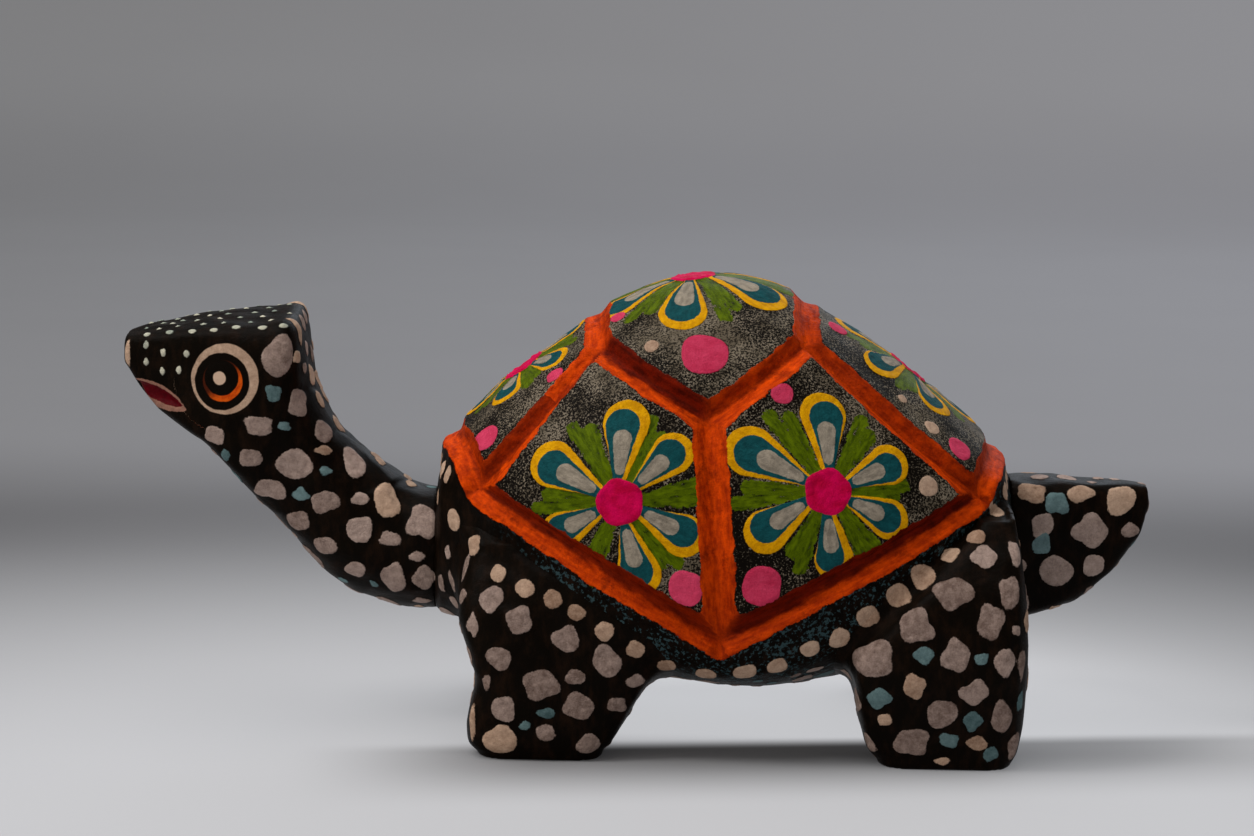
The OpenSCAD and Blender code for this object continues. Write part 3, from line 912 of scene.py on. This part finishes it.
def add_row(marks, rim):
    """Dots over the neck or the tail, at an even pitch a little below the rim."""
    steps = np.linalg.norm(np.diff(rim, axis=0), axis=1)
    along = np.concatenate([[0], np.cumsum(steps)])
    pitch = along[-1] / round(along[-1] / END_DOT_PITCH)
    for place in np.arange(1.5 * pitch, along[-1] - pitch, pitch):
        k = np.searchsorted(along, place)
        way = rim[k + 2] - rim[k - 2]
        out = shell.uncut_normals[nearest(rim[k:k + 1], shell.points)[0][0]]
        down = np.cross(way, out)
        down *= -np.sign(down[2]) / np.linalg.norm(down)
        spot = rim[k] + down * (END_DOT_GAP + rng.uniform(-0.3, 0.3))
        at = nearest(spot[None], shell.points)[0][0]
        size = rng.uniform(1.1, 1.4)
        marks.add_at(shell, at, size, size * rng.uniform(0.95, 1.2), 0, ROUND)


def skin_marks(taken):
    """Grey, teal and peach marks over the neck, head, legs, tail and belly."""
    kinds = {"grey": Marks(), "teal": Marks(), "peach": Marks()}
    kinds["peach"].rows = list(taken.rows)
    sets = [(neck, NECK_MARKS), (tail, TAIL_MARKS), (shell, SHELL_MARKS)]
    for side in ("left", "right"):
        sets += [(legs[f"front_{side}_leg"], FRONT_LEG_MARKS), (legs[f"rear_{side}_leg"], REAR_LEG_MARKS)]
    placed = [(row[0], max(row[2], row[3])) for row in taken.rows]
    for piece, marks in sets:
        sides = (LEFT, RIGHT) if piece in (neck, tail, shell) else (LEFT if "left" in piece.name else RIGHT,)
        for kind, x, z, a, b in ((kind, *row) for kind, rows in marks.items() for row in rows):
            for side in sides:
                dx, dz = rng.normal(0, 0.7, 2) if side == RIGHT else (0, 0)
                grow = rng.uniform(0.85, 1.1) if side == RIGHT else 1
                at = find_side(piece, x + dx, z + dz, side)
                kinds[kind].add_at(piece, at, a * grow, b * grow, 0, RAGGED)
                placed.append((piece.points[at], max(a, b)))
    eye_at = [find_side(neck, *EYE, side) for side in (LEFT, RIGHT)]
    placed += [(neck.points[i], EYE_CLEARANCE) for i in eye_at]
    for piece in (*skin, shell):
        scatter(piece, kinds, placed)
    return kinds


def may_hold_marks(piece):
    """Which points of a piece may hold scattered marks."""
    x, y, z = piece.points.T
    if piece is shell:
        below = (piece.paint["skirt"] > 0.9) & (piece.paint["peach"] > 2.5) & (piece.paint["band"] > 6.5)
        return below & (x > NECK_SEAT_X + 1) & (x < TAIL_SEAT_X - 1)
    if piece.name in legs:
        return (z > 0.8) & (nearest(piece.points, NET[NET_RIM])[1] > 8)
    free = (x < NECK_SEAT_X - 1) | (x > TAIL_SEAT_X + 1)
    if piece is neck:
        on_crown = (piece.normals[:, 2] > 0.6) & (x < -49)
        on_face = (x < -62) & (z > 38)
        free &= ~on_crown & ~on_face
    return free


MARK_SIZES, SIZE_ODDS = [2.3, 1.9, 1.6, 1.2, 0.8], [0.2, 0.25, 0.25, 0.2, 0.1]
MARK_KINDS, KIND_ODDS = ["grey", "peach", "teal"], [0.7, 0.15, 0.15]
LARGEST_TEAL = 1.5
MARK_TRIES = 2600
MARK_GAP, LEFT_MARK_GAP = 0.75, 1.3   # wider where listed marks already stand


def scatter(piece, kinds, placed):
    """Fills what is bare with marks that keep their distance from each other."""
    pool = np.flatnonzero(may_hold_marks(piece))
    centres = np.array([p for p, _ in placed])
    radii = np.array([r for _, r in placed])
    for i in rng.permutation(pool)[:MARK_TRIES]:
        size = rng.choice(MARK_SIZES, p=SIZE_ODDS)
        clear = np.linalg.norm(centres - piece.points[i], axis=1) - radii - size
        if clear.min() < (LEFT_MARK_GAP if piece.normals[i, 1] < -0.35 else MARK_GAP):
            continue
        kind = rng.choice(MARK_KINDS, p=KIND_ODDS)
        size = min(size, LARGEST_TEAL) if kind == "teal" else size
        height = size * rng.uniform(0.75, 1.0)
        kinds[kind].add_at(piece, i, size, height, rng.uniform(0, 3))
        centres = np.vstack([centres, piece.points[i]])
        radii = np.append(radii, size)
        placed.append((piece.points[i], size))


LEG_MARK_SHADE = 0.9   # painted shade: how much is taken off the tone of the legs' marks, which stand under the shell


def paint_skin(kinds):
    """Distances to the marks, and their tones, on every piece."""
    for piece in (*skin, shell):
        for kind, marks in kinds.items():
            gap, tone = marks.distances(piece.points, piece.normals)
            if piece is shell:
                gap = np.where(piece.paint["skirt"] > 0.5, gap, piece.paint.get(kind, FAR))
            piece.paint[kind] = gap
            held = piece.paint.setdefault("tone", np.zeros(len(gap)))
            # the legs' marks are darkened here: painted shade
            piece.paint["tone"] = np.where(gap < 0.4, tone - (LEG_MARK_SHADE if piece.name in legs else 0), held)


EYE_AREA = 8
SNOUT_DOT = (0.42, 0.56)
CROWN_LANES = np.linspace(-0.84, 0.84, 6)   # across the crown, as shares of its half width
CROWN_FRONT, CROWN_REAR, CROWN_PITCH, CROWN_STAGGER = -71.8, -50.5, 3.4, 1.6
OUTER_DOT, INNER_DOT = 0.6, 0.42


def paint_head():
    """Eyes and the rows of pale dots on the crown and the snout."""
    for key in ("eye_x", "eye_z"):
        neck.paint[key] = np.full(len(neck.points), 99.0)
    for side in (LEFT, RIGHT):
        at = find_side(neck, *EYE, side)
        u_axis, v_axis = tangent_axes(neck.normals[at])
        offset = neck.points - neck.points[at]
        near = (np.linalg.norm(offset, axis=1) < EYE_AREA) & (neck.normals @ neck.normals[at] > 0.2)
        neck.paint["eye_x"][near] = (offset @ u_axis)[near]
        neck.paint["eye_z"][near] = (offset @ v_axis)[near]
    white = Marks()
    for x, z in SNOUT_WHITE:
        for side in (LEFT, RIGHT):
            white.add_at(neck, find_side(neck, x, z, side), *SNOUT_DOT, 0, 0.08)
    for row, lane in enumerate(CROWN_LANES):
        size = OUTER_DOT if abs(lane) > 0.7 else INNER_DOT
        for place in np.arange(CROWN_FRONT + (row % 2) * CROWN_STAGGER, CROWN_REAR, CROWN_PITCH):
            half = rows_at(NECK_SECTIONS[::-1], place)[4]
            x = place + rng.uniform(-0.4, 0.4)
            at = find_top(neck, x, lane * half + rng.uniform(-0.2, 0.2))
            width = size * rng.uniform(0.9, 1.25)
            white.add_at(neck, at, width, size * 0.8, 0, 0.03)
    neck.paint["white"] = white.distances(neck.points, neck.normals)[0]


# How thick each paint lies, in millimetres
THICKNESS = {
    "grey": 0.10, "teal": 0.08, "peach": 0.12, "pink": 0.14, "white": 0.16,
    "yellow": 0.09, "petal": 0.04, "streak": 0.05, "centre": 0.22, "leaf": 0.05,
}


def lift_paint():
    """Paint stands a little proud of the wood, more at the edge of a mark than in its middle."""
    for piece in (*skin, shell):
        height = np.zeros(len(piece.points))
        for key, thick in THICKNESS.items():
            if key in piece.paint:
                gap = piece.paint[key]
                height += thick * smooth(0.12, -0.35, gap) + 0.5 * thick * np.exp(-((gap + 0.35) / 0.3) ** 2)
        if "band" in piece.paint:
            height *= smooth(-0.2, 0.3, piece.paint["band"])
        piece.push(height)


paint_flowers()
rim_dots = paint_spots()
all_marks = skin_marks(rim_dots)
paint_skin(all_marks)
paint_head()
lift_paint()


# ---------------- materials

def colour(r, g, b):
    """A linear colour from display values."""
    return tuple(((v + 0.055) / 1.055) ** 2.4 if v > 0.04045 else v / 12.92 for v in (r, g, b)) + (1.0,)


class Shader:
    """Short calls for building a node material."""

    def __init__(self, name):
        self.material = bpy.data.materials.new(name)
        self.material.use_nodes = True
        self.nodes = self.material.node_tree.nodes
        self.surface = self.nodes["Principled BSDF"].inputs
        self.place = self.node("TexCoord", "Object", {})

    def node(self, kind, output, inputs, **settings):
        """A new node's output, once its inputs are linked or set."""
        made = self.nodes.new("ShaderNode" + kind)
        for key, value in settings.items():
            setattr(made, key, value)
        for key, value in inputs.items():
            self.put(made.inputs[key], value)
        return made.outputs[output]

    def put(self, socket, value):
        """Links a socket, or sets it."""
        if isinstance(value, bpy.types.NodeSocket):
            self.material.node_tree.links.new(value, socket)
        else:
            socket.default_value = value

    def math(self, operation, a, b=0.0, clamp=False):
        return self.node("Math", 0, {0: a, 1: b}, operation=operation, use_clamp=clamp)

    def plus(self, a, b):
        return self.math("ADD", a, b)

    def minus(self, a, b):
        return self.math("SUBTRACT", a, b)

    def times(self, a, b):
        return self.math("MULTIPLY", a, b)

    def axis(self, letter):
        """One coordinate of the place on the object, in metres."""
        return self.node("SeparateXYZ", letter, {0: self.place})

    def value(self, attribute):
        """A paint value that the mesh carries."""
        return self.node("Attribute", "Fac", {}, attribute_name=attribute)

    def noise(self, size_mm, detail=2.0, rough=0.5, stretch=(1, 1, 1)):
        """Noise between 0 and 1 with features of about the given size."""
        vector = self.node("Mapping", "Vector", {"Vector": self.place, "Scale": stretch})
        return self.texture(vector, 1 / (size_mm * MM), detail, rough)

    def texture(self, vector, scale, detail, rough):
        inputs = {"Vector": vector, "Scale": scale, "Detail": detail, "Roughness": rough}
        return self.node("TexNoise", "Fac", inputs)

    def strokes(self, along, across, size_mm, length=5.0):
        """Brush hairs that run along a stroke, from its own coordinates in millimetres."""
        x = self.math("DIVIDE", self.value(along), size_mm * length)
        y = self.math("DIVIDE", self.value(across), size_mm)
        return self.texture(self.node("CombineXYZ", 0, {0: x, 1: y}), 1.0, 3.0, 0.6)

    def step(self, v, low, high):
        """0 at low, 1 at high, and smooth between."""
        inputs = {"Value": v, "From Min": low, "From Max": high}
        return self.node("MapRange", "Result", inputs, interpolation_type="SMOOTHSTEP")

    def mix(self, factor, a, b):
        """A colour between a and b."""
        return self.node("Mix", 2, {0: factor, 6: a, 7: b}, data_type="RGBA")

    def blend(self, factor, a, b):
        """A number between a and b."""
        return self.node("Mix", 0, {0: factor, 2: a, 3: b}, data_type="FLOAT")

    def patches(self, size_mm, detail, low, high, tones):
        """Two tones in patches of about the given size."""
        return self.mix(self.step(self.noise(size_mm, detail), low, high), *tones)

    def bump(self, height, distance_mm, strength=1.0):
        inputs = {"Height": height, "Distance": distance_mm * MM, "Strength": strength}
        self.put(self.surface["Normal"], self.node("Bump", "Normal", inputs))

    def edge(self, attribute, ragged=0.3):
        """1 inside a painted mark, 0 outside, with a brushed edge."""
        drift = self.times(self.minus(self.noise(1.3, 1), 0.5), ragged)
        bristle = self.times(self.minus(self.noise(0.35, 2), 0.5), ragged)
        return self.step(self.plus(self.value(attribute), self.plus(drift, bristle)), 0.07, -0.07)


# Paints, most of them as a darker and a lighter tone
GREY = colour(0.41, 0.34, 0.31), colour(0.725, 0.64, 0.60)
TEAL = colour(0.25, 0.34, 0.35), colour(0.44, 0.54, 0.55)
PEACH = colour(0.54, 0.43, 0.355), colour(0.80, 0.685, 0.595)
BLACK = colour(0.032, 0.016, 0.004)
THIN_BLACK = colour(0.11, 0.062, 0.03)
SPONGED = colour(0.37, 0.335, 0.28), colour(0.50, 0.46, 0.40)
PLATE_GROUND = colour(0.05, 0.034, 0.02), colour(0.15, 0.13, 0.10)
SKIRT_FLECK = colour(0.21, 0.30, 0.32)
LEAF = colour(0.19, 0.25, 0.0), colour(0.35, 0.425, 0.01)
YELLOW = colour(0.74, 0.51, 0.0), colour(0.87, 0.635, 0.01)
PETAL = colour(0.045, 0.23, 0.25), colour(0.07, 0.30, 0.32)
STREAK = colour(0.46, 0.43, 0.385), colour(0.62, 0.58, 0.52)
HEART = colour(0.69, 0.0, 0.21), colour(0.80, 0.015, 0.31)
PINK = colour(0.68, 0.14, 0.27), colour(0.83, 0.27, 0.41)
BAND = colour(0.58, 0.14, 0.0), colour(0.89, 0.295, 0.0)
BAND_SHADED = colour(0.26, 0.035, 0.0), colour(0.44, 0.08, 0.0)
BAND_WORN = colour(0.40, 0.085, 0.0)
IRIS_DARK = colour(0.26, 0.09, 0.03)
IRIS_AMBER = colour(0.70, 0.23, 0.02), colour(0.82, 0.34, 0.05)
LIPS = colour(0.43, 0.31, 0.27), colour(0.66, 0.48, 0.41)
MOUTH = colour(0.17, 0.0, 0.03), colour(0.40, 0.02, 0.07)
PALE_DOTS = colour(0.52, 0.56, 0.52), colour(0.76, 0.75, 0.68)
COPAL = colour(0.72, 0.56, 0.36), colour(0.86, 0.72, 0.52)
COPAL_GRAIN = colour(0.52, 0.37, 0.22)

SATIN, DULL, DULLEST = 0.42, 0.5, 0.62   # roughness of black paint, of the shell's ground, of thick paint
PAINT_SPECULAR = 0.035
PAINT_RELIEF, WOOD_RELIEF = 0.14, 0.1


def mottled(s, tones, size_mm=1.0):
    """Brushed paint between two tones, also shifted by each mark's own tone."""
    blotch = s.plus(s.noise(size_mm, 3, 0.6), s.times(s.noise(0.22, 2, 0.6), 0.5))
    level = s.plus(s.times(s.minus(blotch, 0.75), 1.2), 0.5)
    return s.mix(s.math("ADD", level, s.times(s.value("tone"), 0.22), clamp=True), *tones)


def black_ground(s):
    """Black paint brushed thin over wood, browner where it is thin."""
    streak = s.noise(1.6, 4, 0.65, stretch=(1, 1, 0.45))
    return s.mix(s.step(streak, 0.42, 0.78), BLACK, THIN_BLACK)


def skin_layers(s, below):
    """Grey, teal and peach marks over a ground colour, and how much of the surface they cover."""
    cover = 0.0
    for key, tones in (("grey", GREY), ("teal", TEAL), ("peach", PEACH)):
        inside = s.edge(key)
        below = s.mix(inside, below, mottled(s, tones))
        cover = s.math("MAXIMUM", cover, inside)
    return below, cover


def finish_paint(s, base, cover, rough=SATIN):
    """Satin paint: colour, roughness that varies, and the fine relief of brush hairs and grain."""
    s.put(s.surface["Base Color"], base)
    grain = s.noise(0.5, 4, 0.7, stretch=(0.35, 1, 1))
    varied = s.plus(s.blend(cover, rough, DULLEST), s.times(s.minus(grain, 0.5), 0.3))
    s.put(s.surface["Roughness"], varied)
    s.surface["Specular IOR Level"].default_value = PAINT_SPECULAR
    relief = s.plus(s.times(grain, 0.5), s.times(s.noise(0.16, 3, 0.6), 0.35))
    relief = s.plus(relief, s.times(cover, s.times(s.noise(0.8, 3, 0.65), 1.6)))
    s.bump(relief, PAINT_RELIEF)
    return s.material


def skin_material():
    s = Shader("black_with_dabs")
    return finish_paint(s, *skin_layers(s, black_ground(s)))


def head_material():
    """The neck's paint, with the eyes, the mouth and the pale dots of the crown."""
    s = Shader("head_paint")
    base, cover = skin_layers(s, black_ground(s))

    def disc(x, z, radius, soft=0.08):
        across, up = s.minus(s.value("eye_x"), x), s.minus(s.value("eye_z"), z)
        far = s.math("SQRT", s.plus(s.times(across, across), s.times(up, up)))
        far = s.plus(far, s.times(s.minus(s.noise(1.2, 2), 0.5), 0.25))
        return s.step(far, radius + soft, radius - soft)

    low_right = s.step(s.minus(s.value("eye_x"), s.value("eye_z")), -0.9, 2.6)
    amber = s.patches(0.9, 3, 0.35, 0.65, IRIS_AMBER)
    for place, paint in (
        ((0, 0, 5.1), mottled(s, PEACH, 0.8)),                     # ring round the eye
        ((-0.4, -0.4, 4.15), BLACK),
        ((-0.3, -0.3, 3.0), s.mix(low_right, IRIS_DARK, amber)),   # iris
        ((-0.5, 0.15, 2.6), BLACK),                                # pupil
        ((-0.83, 0.05, 0.98), PEACH[1]),                           # glint
    ):
        base = s.mix(disc(*place), base, paint)
    base = s.mix(s.edge("lips", 0.25), base, mottled(s, LIPS, 0.8))
    base = s.mix(s.edge("mouth", 0.25), base, s.mix(s.noise(0.9, 3), *MOUTH))
    dots = s.edge("white", 0.12)
    base = s.mix(dots, base, s.patches(4, 1, 0.35, 0.65, PALE_DOTS))
    return finish_paint(s, base, s.math("MAXIMUM", cover, dots))


def plate_ground(s, x, z):
    """Grey sponged over black on the plates, and sparse blue-grey flecks below the rim."""
    # The plates are paler and more sponged higher up, and darker towards the rim.
    height = s.step(z, 0.02, 0.066)
    cloud = s.noise(9, 2)
    reach = s.plus(s.times(height, 0.05), s.times(cloud, 0.38))
    sponge = s.step(s.plus(s.noise(0.27, 3, 0.65), reach), 0.715, 0.835)
    paler_patches = s.times(s.step(cloud, 0.46, 0.68), height)
    grey = s.patches(3, 2, 0.35, 0.65, SPONGED)
    plates = s.mix(sponge, s.mix(paler_patches, *PLATE_GROUND), grey)
    fleck = s.step(s.plus(s.noise(0.6, 3, 0.7), s.times(s.noise(4, 1), 0.25)), 0.66, 0.74)
    skirt = s.mix(s.times(fleck, 0.75), black_ground(s), SKIRT_FLECK)
    skirt = s.mix(s.step(x, -0.022, -0.012), black_ground(s), skirt)
    return s.mix(s.step(s.value("skirt"), 0.4, 0.6), plates, skirt)


def band_paint(s, z):
    """Orange, darker on the shaded walls of the grooves, worn brown in places, and browner towards the
    bottom.
    """
    hairs = s.plus(s.times(s.strokes("band_u", "band_v", 0.8, 5), 0.7), s.times(s.noise(0.9, 3, 0.6), 0.3))
    drift = s.times(s.minus(s.strokes("band_u", "band_v", 1.6, 3), 0.5), 1.1)
    side = s.plus(s.plus(s.value("across"), drift), s.times(s.value("shade"), 0.3))
    lit = s.mix(s.step(hairs, 0.3, 0.7), *BAND)
    shaded = s.mix(s.step(hairs, 0.35, 0.65), *BAND_SHADED)
    band = s.mix(s.times(s.step(side, -0.05, 0.35), s.value("shade")), lit, shaded)
    worn = s.times(s.step(s.noise(3.5, 4, 0.7), 0.52, 0.72), 0.75)
    # browner towards the bottom of the shell
    low = s.times(s.step(z, 0.036, 0.014), 0.4)
    return s.mix(s.math("MAXIMUM", worn, low), band, BAND_WORN)


def shell_material():
    """The plates' ground, flowers and spots, and orange bands in the grooves."""
    s = Shader("shell_paint")
    x, z = s.axis("X"), s.axis("Z")
    base = plate_ground(s, x, z)
    leaf_hairs = s.strokes("leaf_u", "leaf_v", 0.7, 3)
    bare = s.step(s.plus(leaf_hairs, s.times(s.noise(0.4, 2), 0.4)), 0.46, 0.56)
    base = s.mix(s.times(s.edge("leaf", 0.9), bare), base, s.mix(s.step(leaf_hairs, 0.3, 0.7), *LEAF))
    hairs = s.plus(s.times(s.strokes("yellow_u", "yellow_v", 0.7, 3), 0.6), s.times(s.noise(1.1, 3), 0.4))
    brushed = s.step(hairs, 0.32, 0.68)
    cover = 0.0
    for key, paint in (
        ("yellow", s.mix(brushed, *YELLOW)),
        ("petal", s.mix(brushed, *PETAL)),
        ("streak", s.mix(brushed, *STREAK)),
        ("centre", s.patches(2, 3, 0.3, 0.7, HEART)),
        ("pink", mottled(s, PINK, 1.5)),
        ("grey", mottled(s, GREY)),
        ("teal", mottled(s, TEAL)),
        ("peach", mottled(s, PEACH)),
    ):
        inside = s.edge(key, 0.2)
        base = s.mix(inside, base, paint)
        cover = s.math("MAXIMUM", cover, inside)
    on_band = s.edge("band", 0.45)
    base = s.mix(on_band, base, band_paint(s, z))
    return finish_paint(s, base, s.math("MAXIMUM", cover, on_band), DULL)


def wood_material():
    """Bare copal: pale, with long grain along the dowel and growth rings."""
    s = Shader("bare_wood")
    grain = s.noise(0.5, 5, 0.65, stretch=(0.12, 1, 1))
    rings = s.noise(2.2, 3, 0.6, stretch=(0.06, 1, 1))
    base = s.mix(s.step(rings, 0.35, 0.65), *COPAL)
    base = s.mix(s.times(s.step(grain, 0.52, 0.7), 0.5), base, COPAL_GRAIN)
    s.put(s.surface["Base Color"], base)
    s.put(s.surface["Roughness"], s.blend(grain, 0.6, 0.85))
    s.bump(grain, WOOD_RELIEF)
    return s.material


# ---------------- pieces

def to_object(piece, material):
    """A Blender object in metres with the piece's paint values on its points."""
    mesh = bpy.data.meshes.new(piece.name)
    count = len(piece.quads)
    mesh.vertices.add(len(piece.points))
    mesh.vertices.foreach_set("co", (piece.points * MM).astype(np.float32).ravel())
    mesh.loops.add(count * 4)
    mesh.loops.foreach_set("vertex_index", piece.quads.astype(np.int32).ravel())
    mesh.polygons.add(count)
    mesh.polygons.foreach_set("loop_start", np.arange(0, count * 4, 4, dtype=np.int32))
    mesh.polygons.foreach_set("use_smooth", np.ones(count, bool))
    for key, values in piece.paint.items():
        attribute = mesh.attributes.new(key, "FLOAT", "POINT")
        attribute.data.foreach_set("value", values.astype(np.float32))
    mesh.update()
    mesh.validate()
    mesh.materials.append(material)
    return add_object(f"painted_{piece.name}", mesh)


def place_pieces():
    dabs = skin_material()
    for piece, node, body, material, slot in (
        (shell, "shell_body", "body", shell_material(), "shell_paint"),
        (neck, "neck_and_head", "neck", head_material(), "skin_paint"),
        (tail, "tail", "tail", dabs, "skin_paint"),
        *((leg, name, "body", dabs, "skin_paint") for name, leg in legs.items()),
    ):
        made = to_object(piece, material)
        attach(made, body)
        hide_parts(node)
    wood = wood_material()
    for name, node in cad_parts.items():
        if name.endswith("dowel"):
            for place in node.material_slots:
                place.material = wood


place_pieces()


# ---------------- stage and light

FLOOR_FRONT, FLOOR_BACK, SWEEP_RADIUS, WALL_TOP, FLOOR_HALF_W = -0.9, 0.85, 0.5, 1.6, 2.2
# Paper paler near the figure and darker away from it is a painted pool of light; the glows below are painted
# light too
LIT_PAPER, DIM_PAPER, PAPER_FLECK = (colour(v, v, w) for v, w in ((0.51, 0.52), (0.31, 0.32), (0.5, 0.5)))
NEAR_GLOW = colour(0.88, 0.885, 0.90)
BEHIND_GLOW = colour(0.28, 0.28, 0.285)
MIDDLE_GLOW = colour(0.55, 0.55, 0.555), colour(0.68, 0.68, 0.705)   # at the left and at the right
WALL_GLOW = colour(0.62, 0.62, 0.625), colour(0.735, 0.735, 0.755)
GLOW, BELLY_GLOW = 0.45, 0.26


def paper_sweep():
    """Pale paper that glows a little, as painted light: more under the belly and near the figure, less in a
    painted shadow strip at the near feet.
    """
    s = Shader("paper_sweep")
    x, y, z = (s.axis(letter) for letter in "XYZ")
    # painted pool of light round a point a little in front of the figure
    off = s.node("VectorMath", "Value", {0: s.place, 1: (0, -0.09, 0)}, operation="DISTANCE")
    far = s.step(off, 0.08, 0.30)
    paper = s.mix(far, LIT_PAPER, DIM_PAPER)
    s.put(s.surface["Base Color"], s.mix(s.times(s.noise(60, 2), 0.08), paper, PAPER_FLECK))

    # painted light on the glowing paper: dim at the front and sides, brighter far back and up the wall,
    # brighter at the right
    right = s.step(x, -0.4, 0.4)
    glow = s.mix(s.step(y, 0.13, 0.28), BEHIND_GLOW, s.mix(right, *MIDDLE_GLOW))
    glow = s.mix(s.step(z, 0.0, 0.05), glow, s.mix(right, *WALL_GLOW))
    s.put(s.surface["Emission Color"], s.mix(far, NEAR_GLOW, glow))

    # painted shadow strip in front of the near feet, running past the rear leg and fainter to the right of it
    slant = s.minus(y, s.times(x, 0.15))
    strip = s.times(s.step(slant, -0.013, -0.020), s.step(slant, -0.053, -0.024))
    strip = s.times(s.times(strip, s.step(x, -0.05, -0.012)), s.step(x, 0.125, 0.065))
    thinner = s.plus(0.05, s.times(s.step(x, 0.044, 0.056), 0.24))
    strip = s.times(strip, s.minus(1.0, thinner))
    # painted light: more glow under the belly
    belly = s.times(s.step(y, -0.02, -0.008), s.step(y, 0.10, 0.03))
    belly = s.times(s.times(belly, s.step(x, -0.02, 0.0)), s.step(x, 0.12, 0.04))
    strength = s.plus(s.times(belly, BELLY_GLOW), GLOW)
    s.put(s.surface["Emission Strength"], s.times(strength, s.minus(1.0, strip)))
    s.surface["Roughness"].default_value = 0.85
    s.surface["Specular IOR Level"].default_value = 0.1
    s.bump(s.noise(0.8, 3), 0.05, 0.4)
    return s.material


def make_floor():
    """A pale floor that curves up into a plain backdrop."""
    profile = [(FLOOR_FRONT, 0), (FLOOR_BACK, 0)]
    for a in np.linspace(0.1, math.pi / 2, 16):
        profile.append((FLOOR_BACK + SWEEP_RADIUS * math.sin(a), SWEEP_RADIUS * (1 - math.cos(a))))
    profile.append((FLOOR_BACK + SWEEP_RADIUS, WALL_TOP))
    points = [(x, y, z) for y, z in profile for x in (-FLOOR_HALF_W, FLOOR_HALF_W)]
    faces = [(2 * k, 2 * k + 1, 2 * k + 3, 2 * k + 2) for k in range(len(profile) - 1)]
    mesh = bpy.data.meshes.new("floor")
    mesh.from_pydata(points, [], faces)
    for face in mesh.polygons:
        face.use_smooth = True
    mesh.materials.append(paper_sweep())
    add_object("floor", mesh)


# Name, place and aim in metres, width and height, watts, tint
LIGHTS = [
    ("overhead", (-0.2, 0.0, 0.9), (0, 0, 0.03), (0.9, 0.8), 5.0, (1.0, 0.98, 0.96)),
    ("upper_left", (-0.55, -0.2, 0.7), (0, 0, 0.03), (0.2, 0.2), 2.6, (1.0, 0.97, 0.93)),
    ("behind", (0.25, 0.8, 0.45), (0, 0, 0.04), (0.7, 0.4), 2.2, (0.80, 0.90, 1.0)),
    ("front_left", (-0.75, -0.8, 0.16), (0, 0, 0.03), (0.7, 0.3), 1.5, (1.0, 0.84, 0.66)),
]
SKY, SKY_STRENGTH = colour(0.78, 0.77, 0.76), 0.58


def make_lights():
    """Four soft area lights and a pale sky: the one behind is cool, and the one low in front is warm."""
    for name, place, aim, size, power, tint in LIGHTS:
        data = bpy.data.lights.new(name, "AREA")
        data.shape = "RECTANGLE"
        data.size, data.size_y = size
        data.energy = power
        data.color = tint
        turn = (Vector(aim) - Vector(place)).to_track_quat("-Z", "Y").to_matrix().to_4x4()
        add_object(name, data).matrix_world = Matrix.Translation(place) @ turn
    world = bpy.data.worlds.new("world")
    world.use_nodes = True
    sky = world.node_tree.nodes["Background"].inputs
    sky["Color"].default_value = SKY
    sky["Strength"].default_value = SKY_STRENGTH
    bpy.context.scene.world = world
    bpy.context.scene.view_settings.view_transform = "Standard"


make_floor()
make_lights()
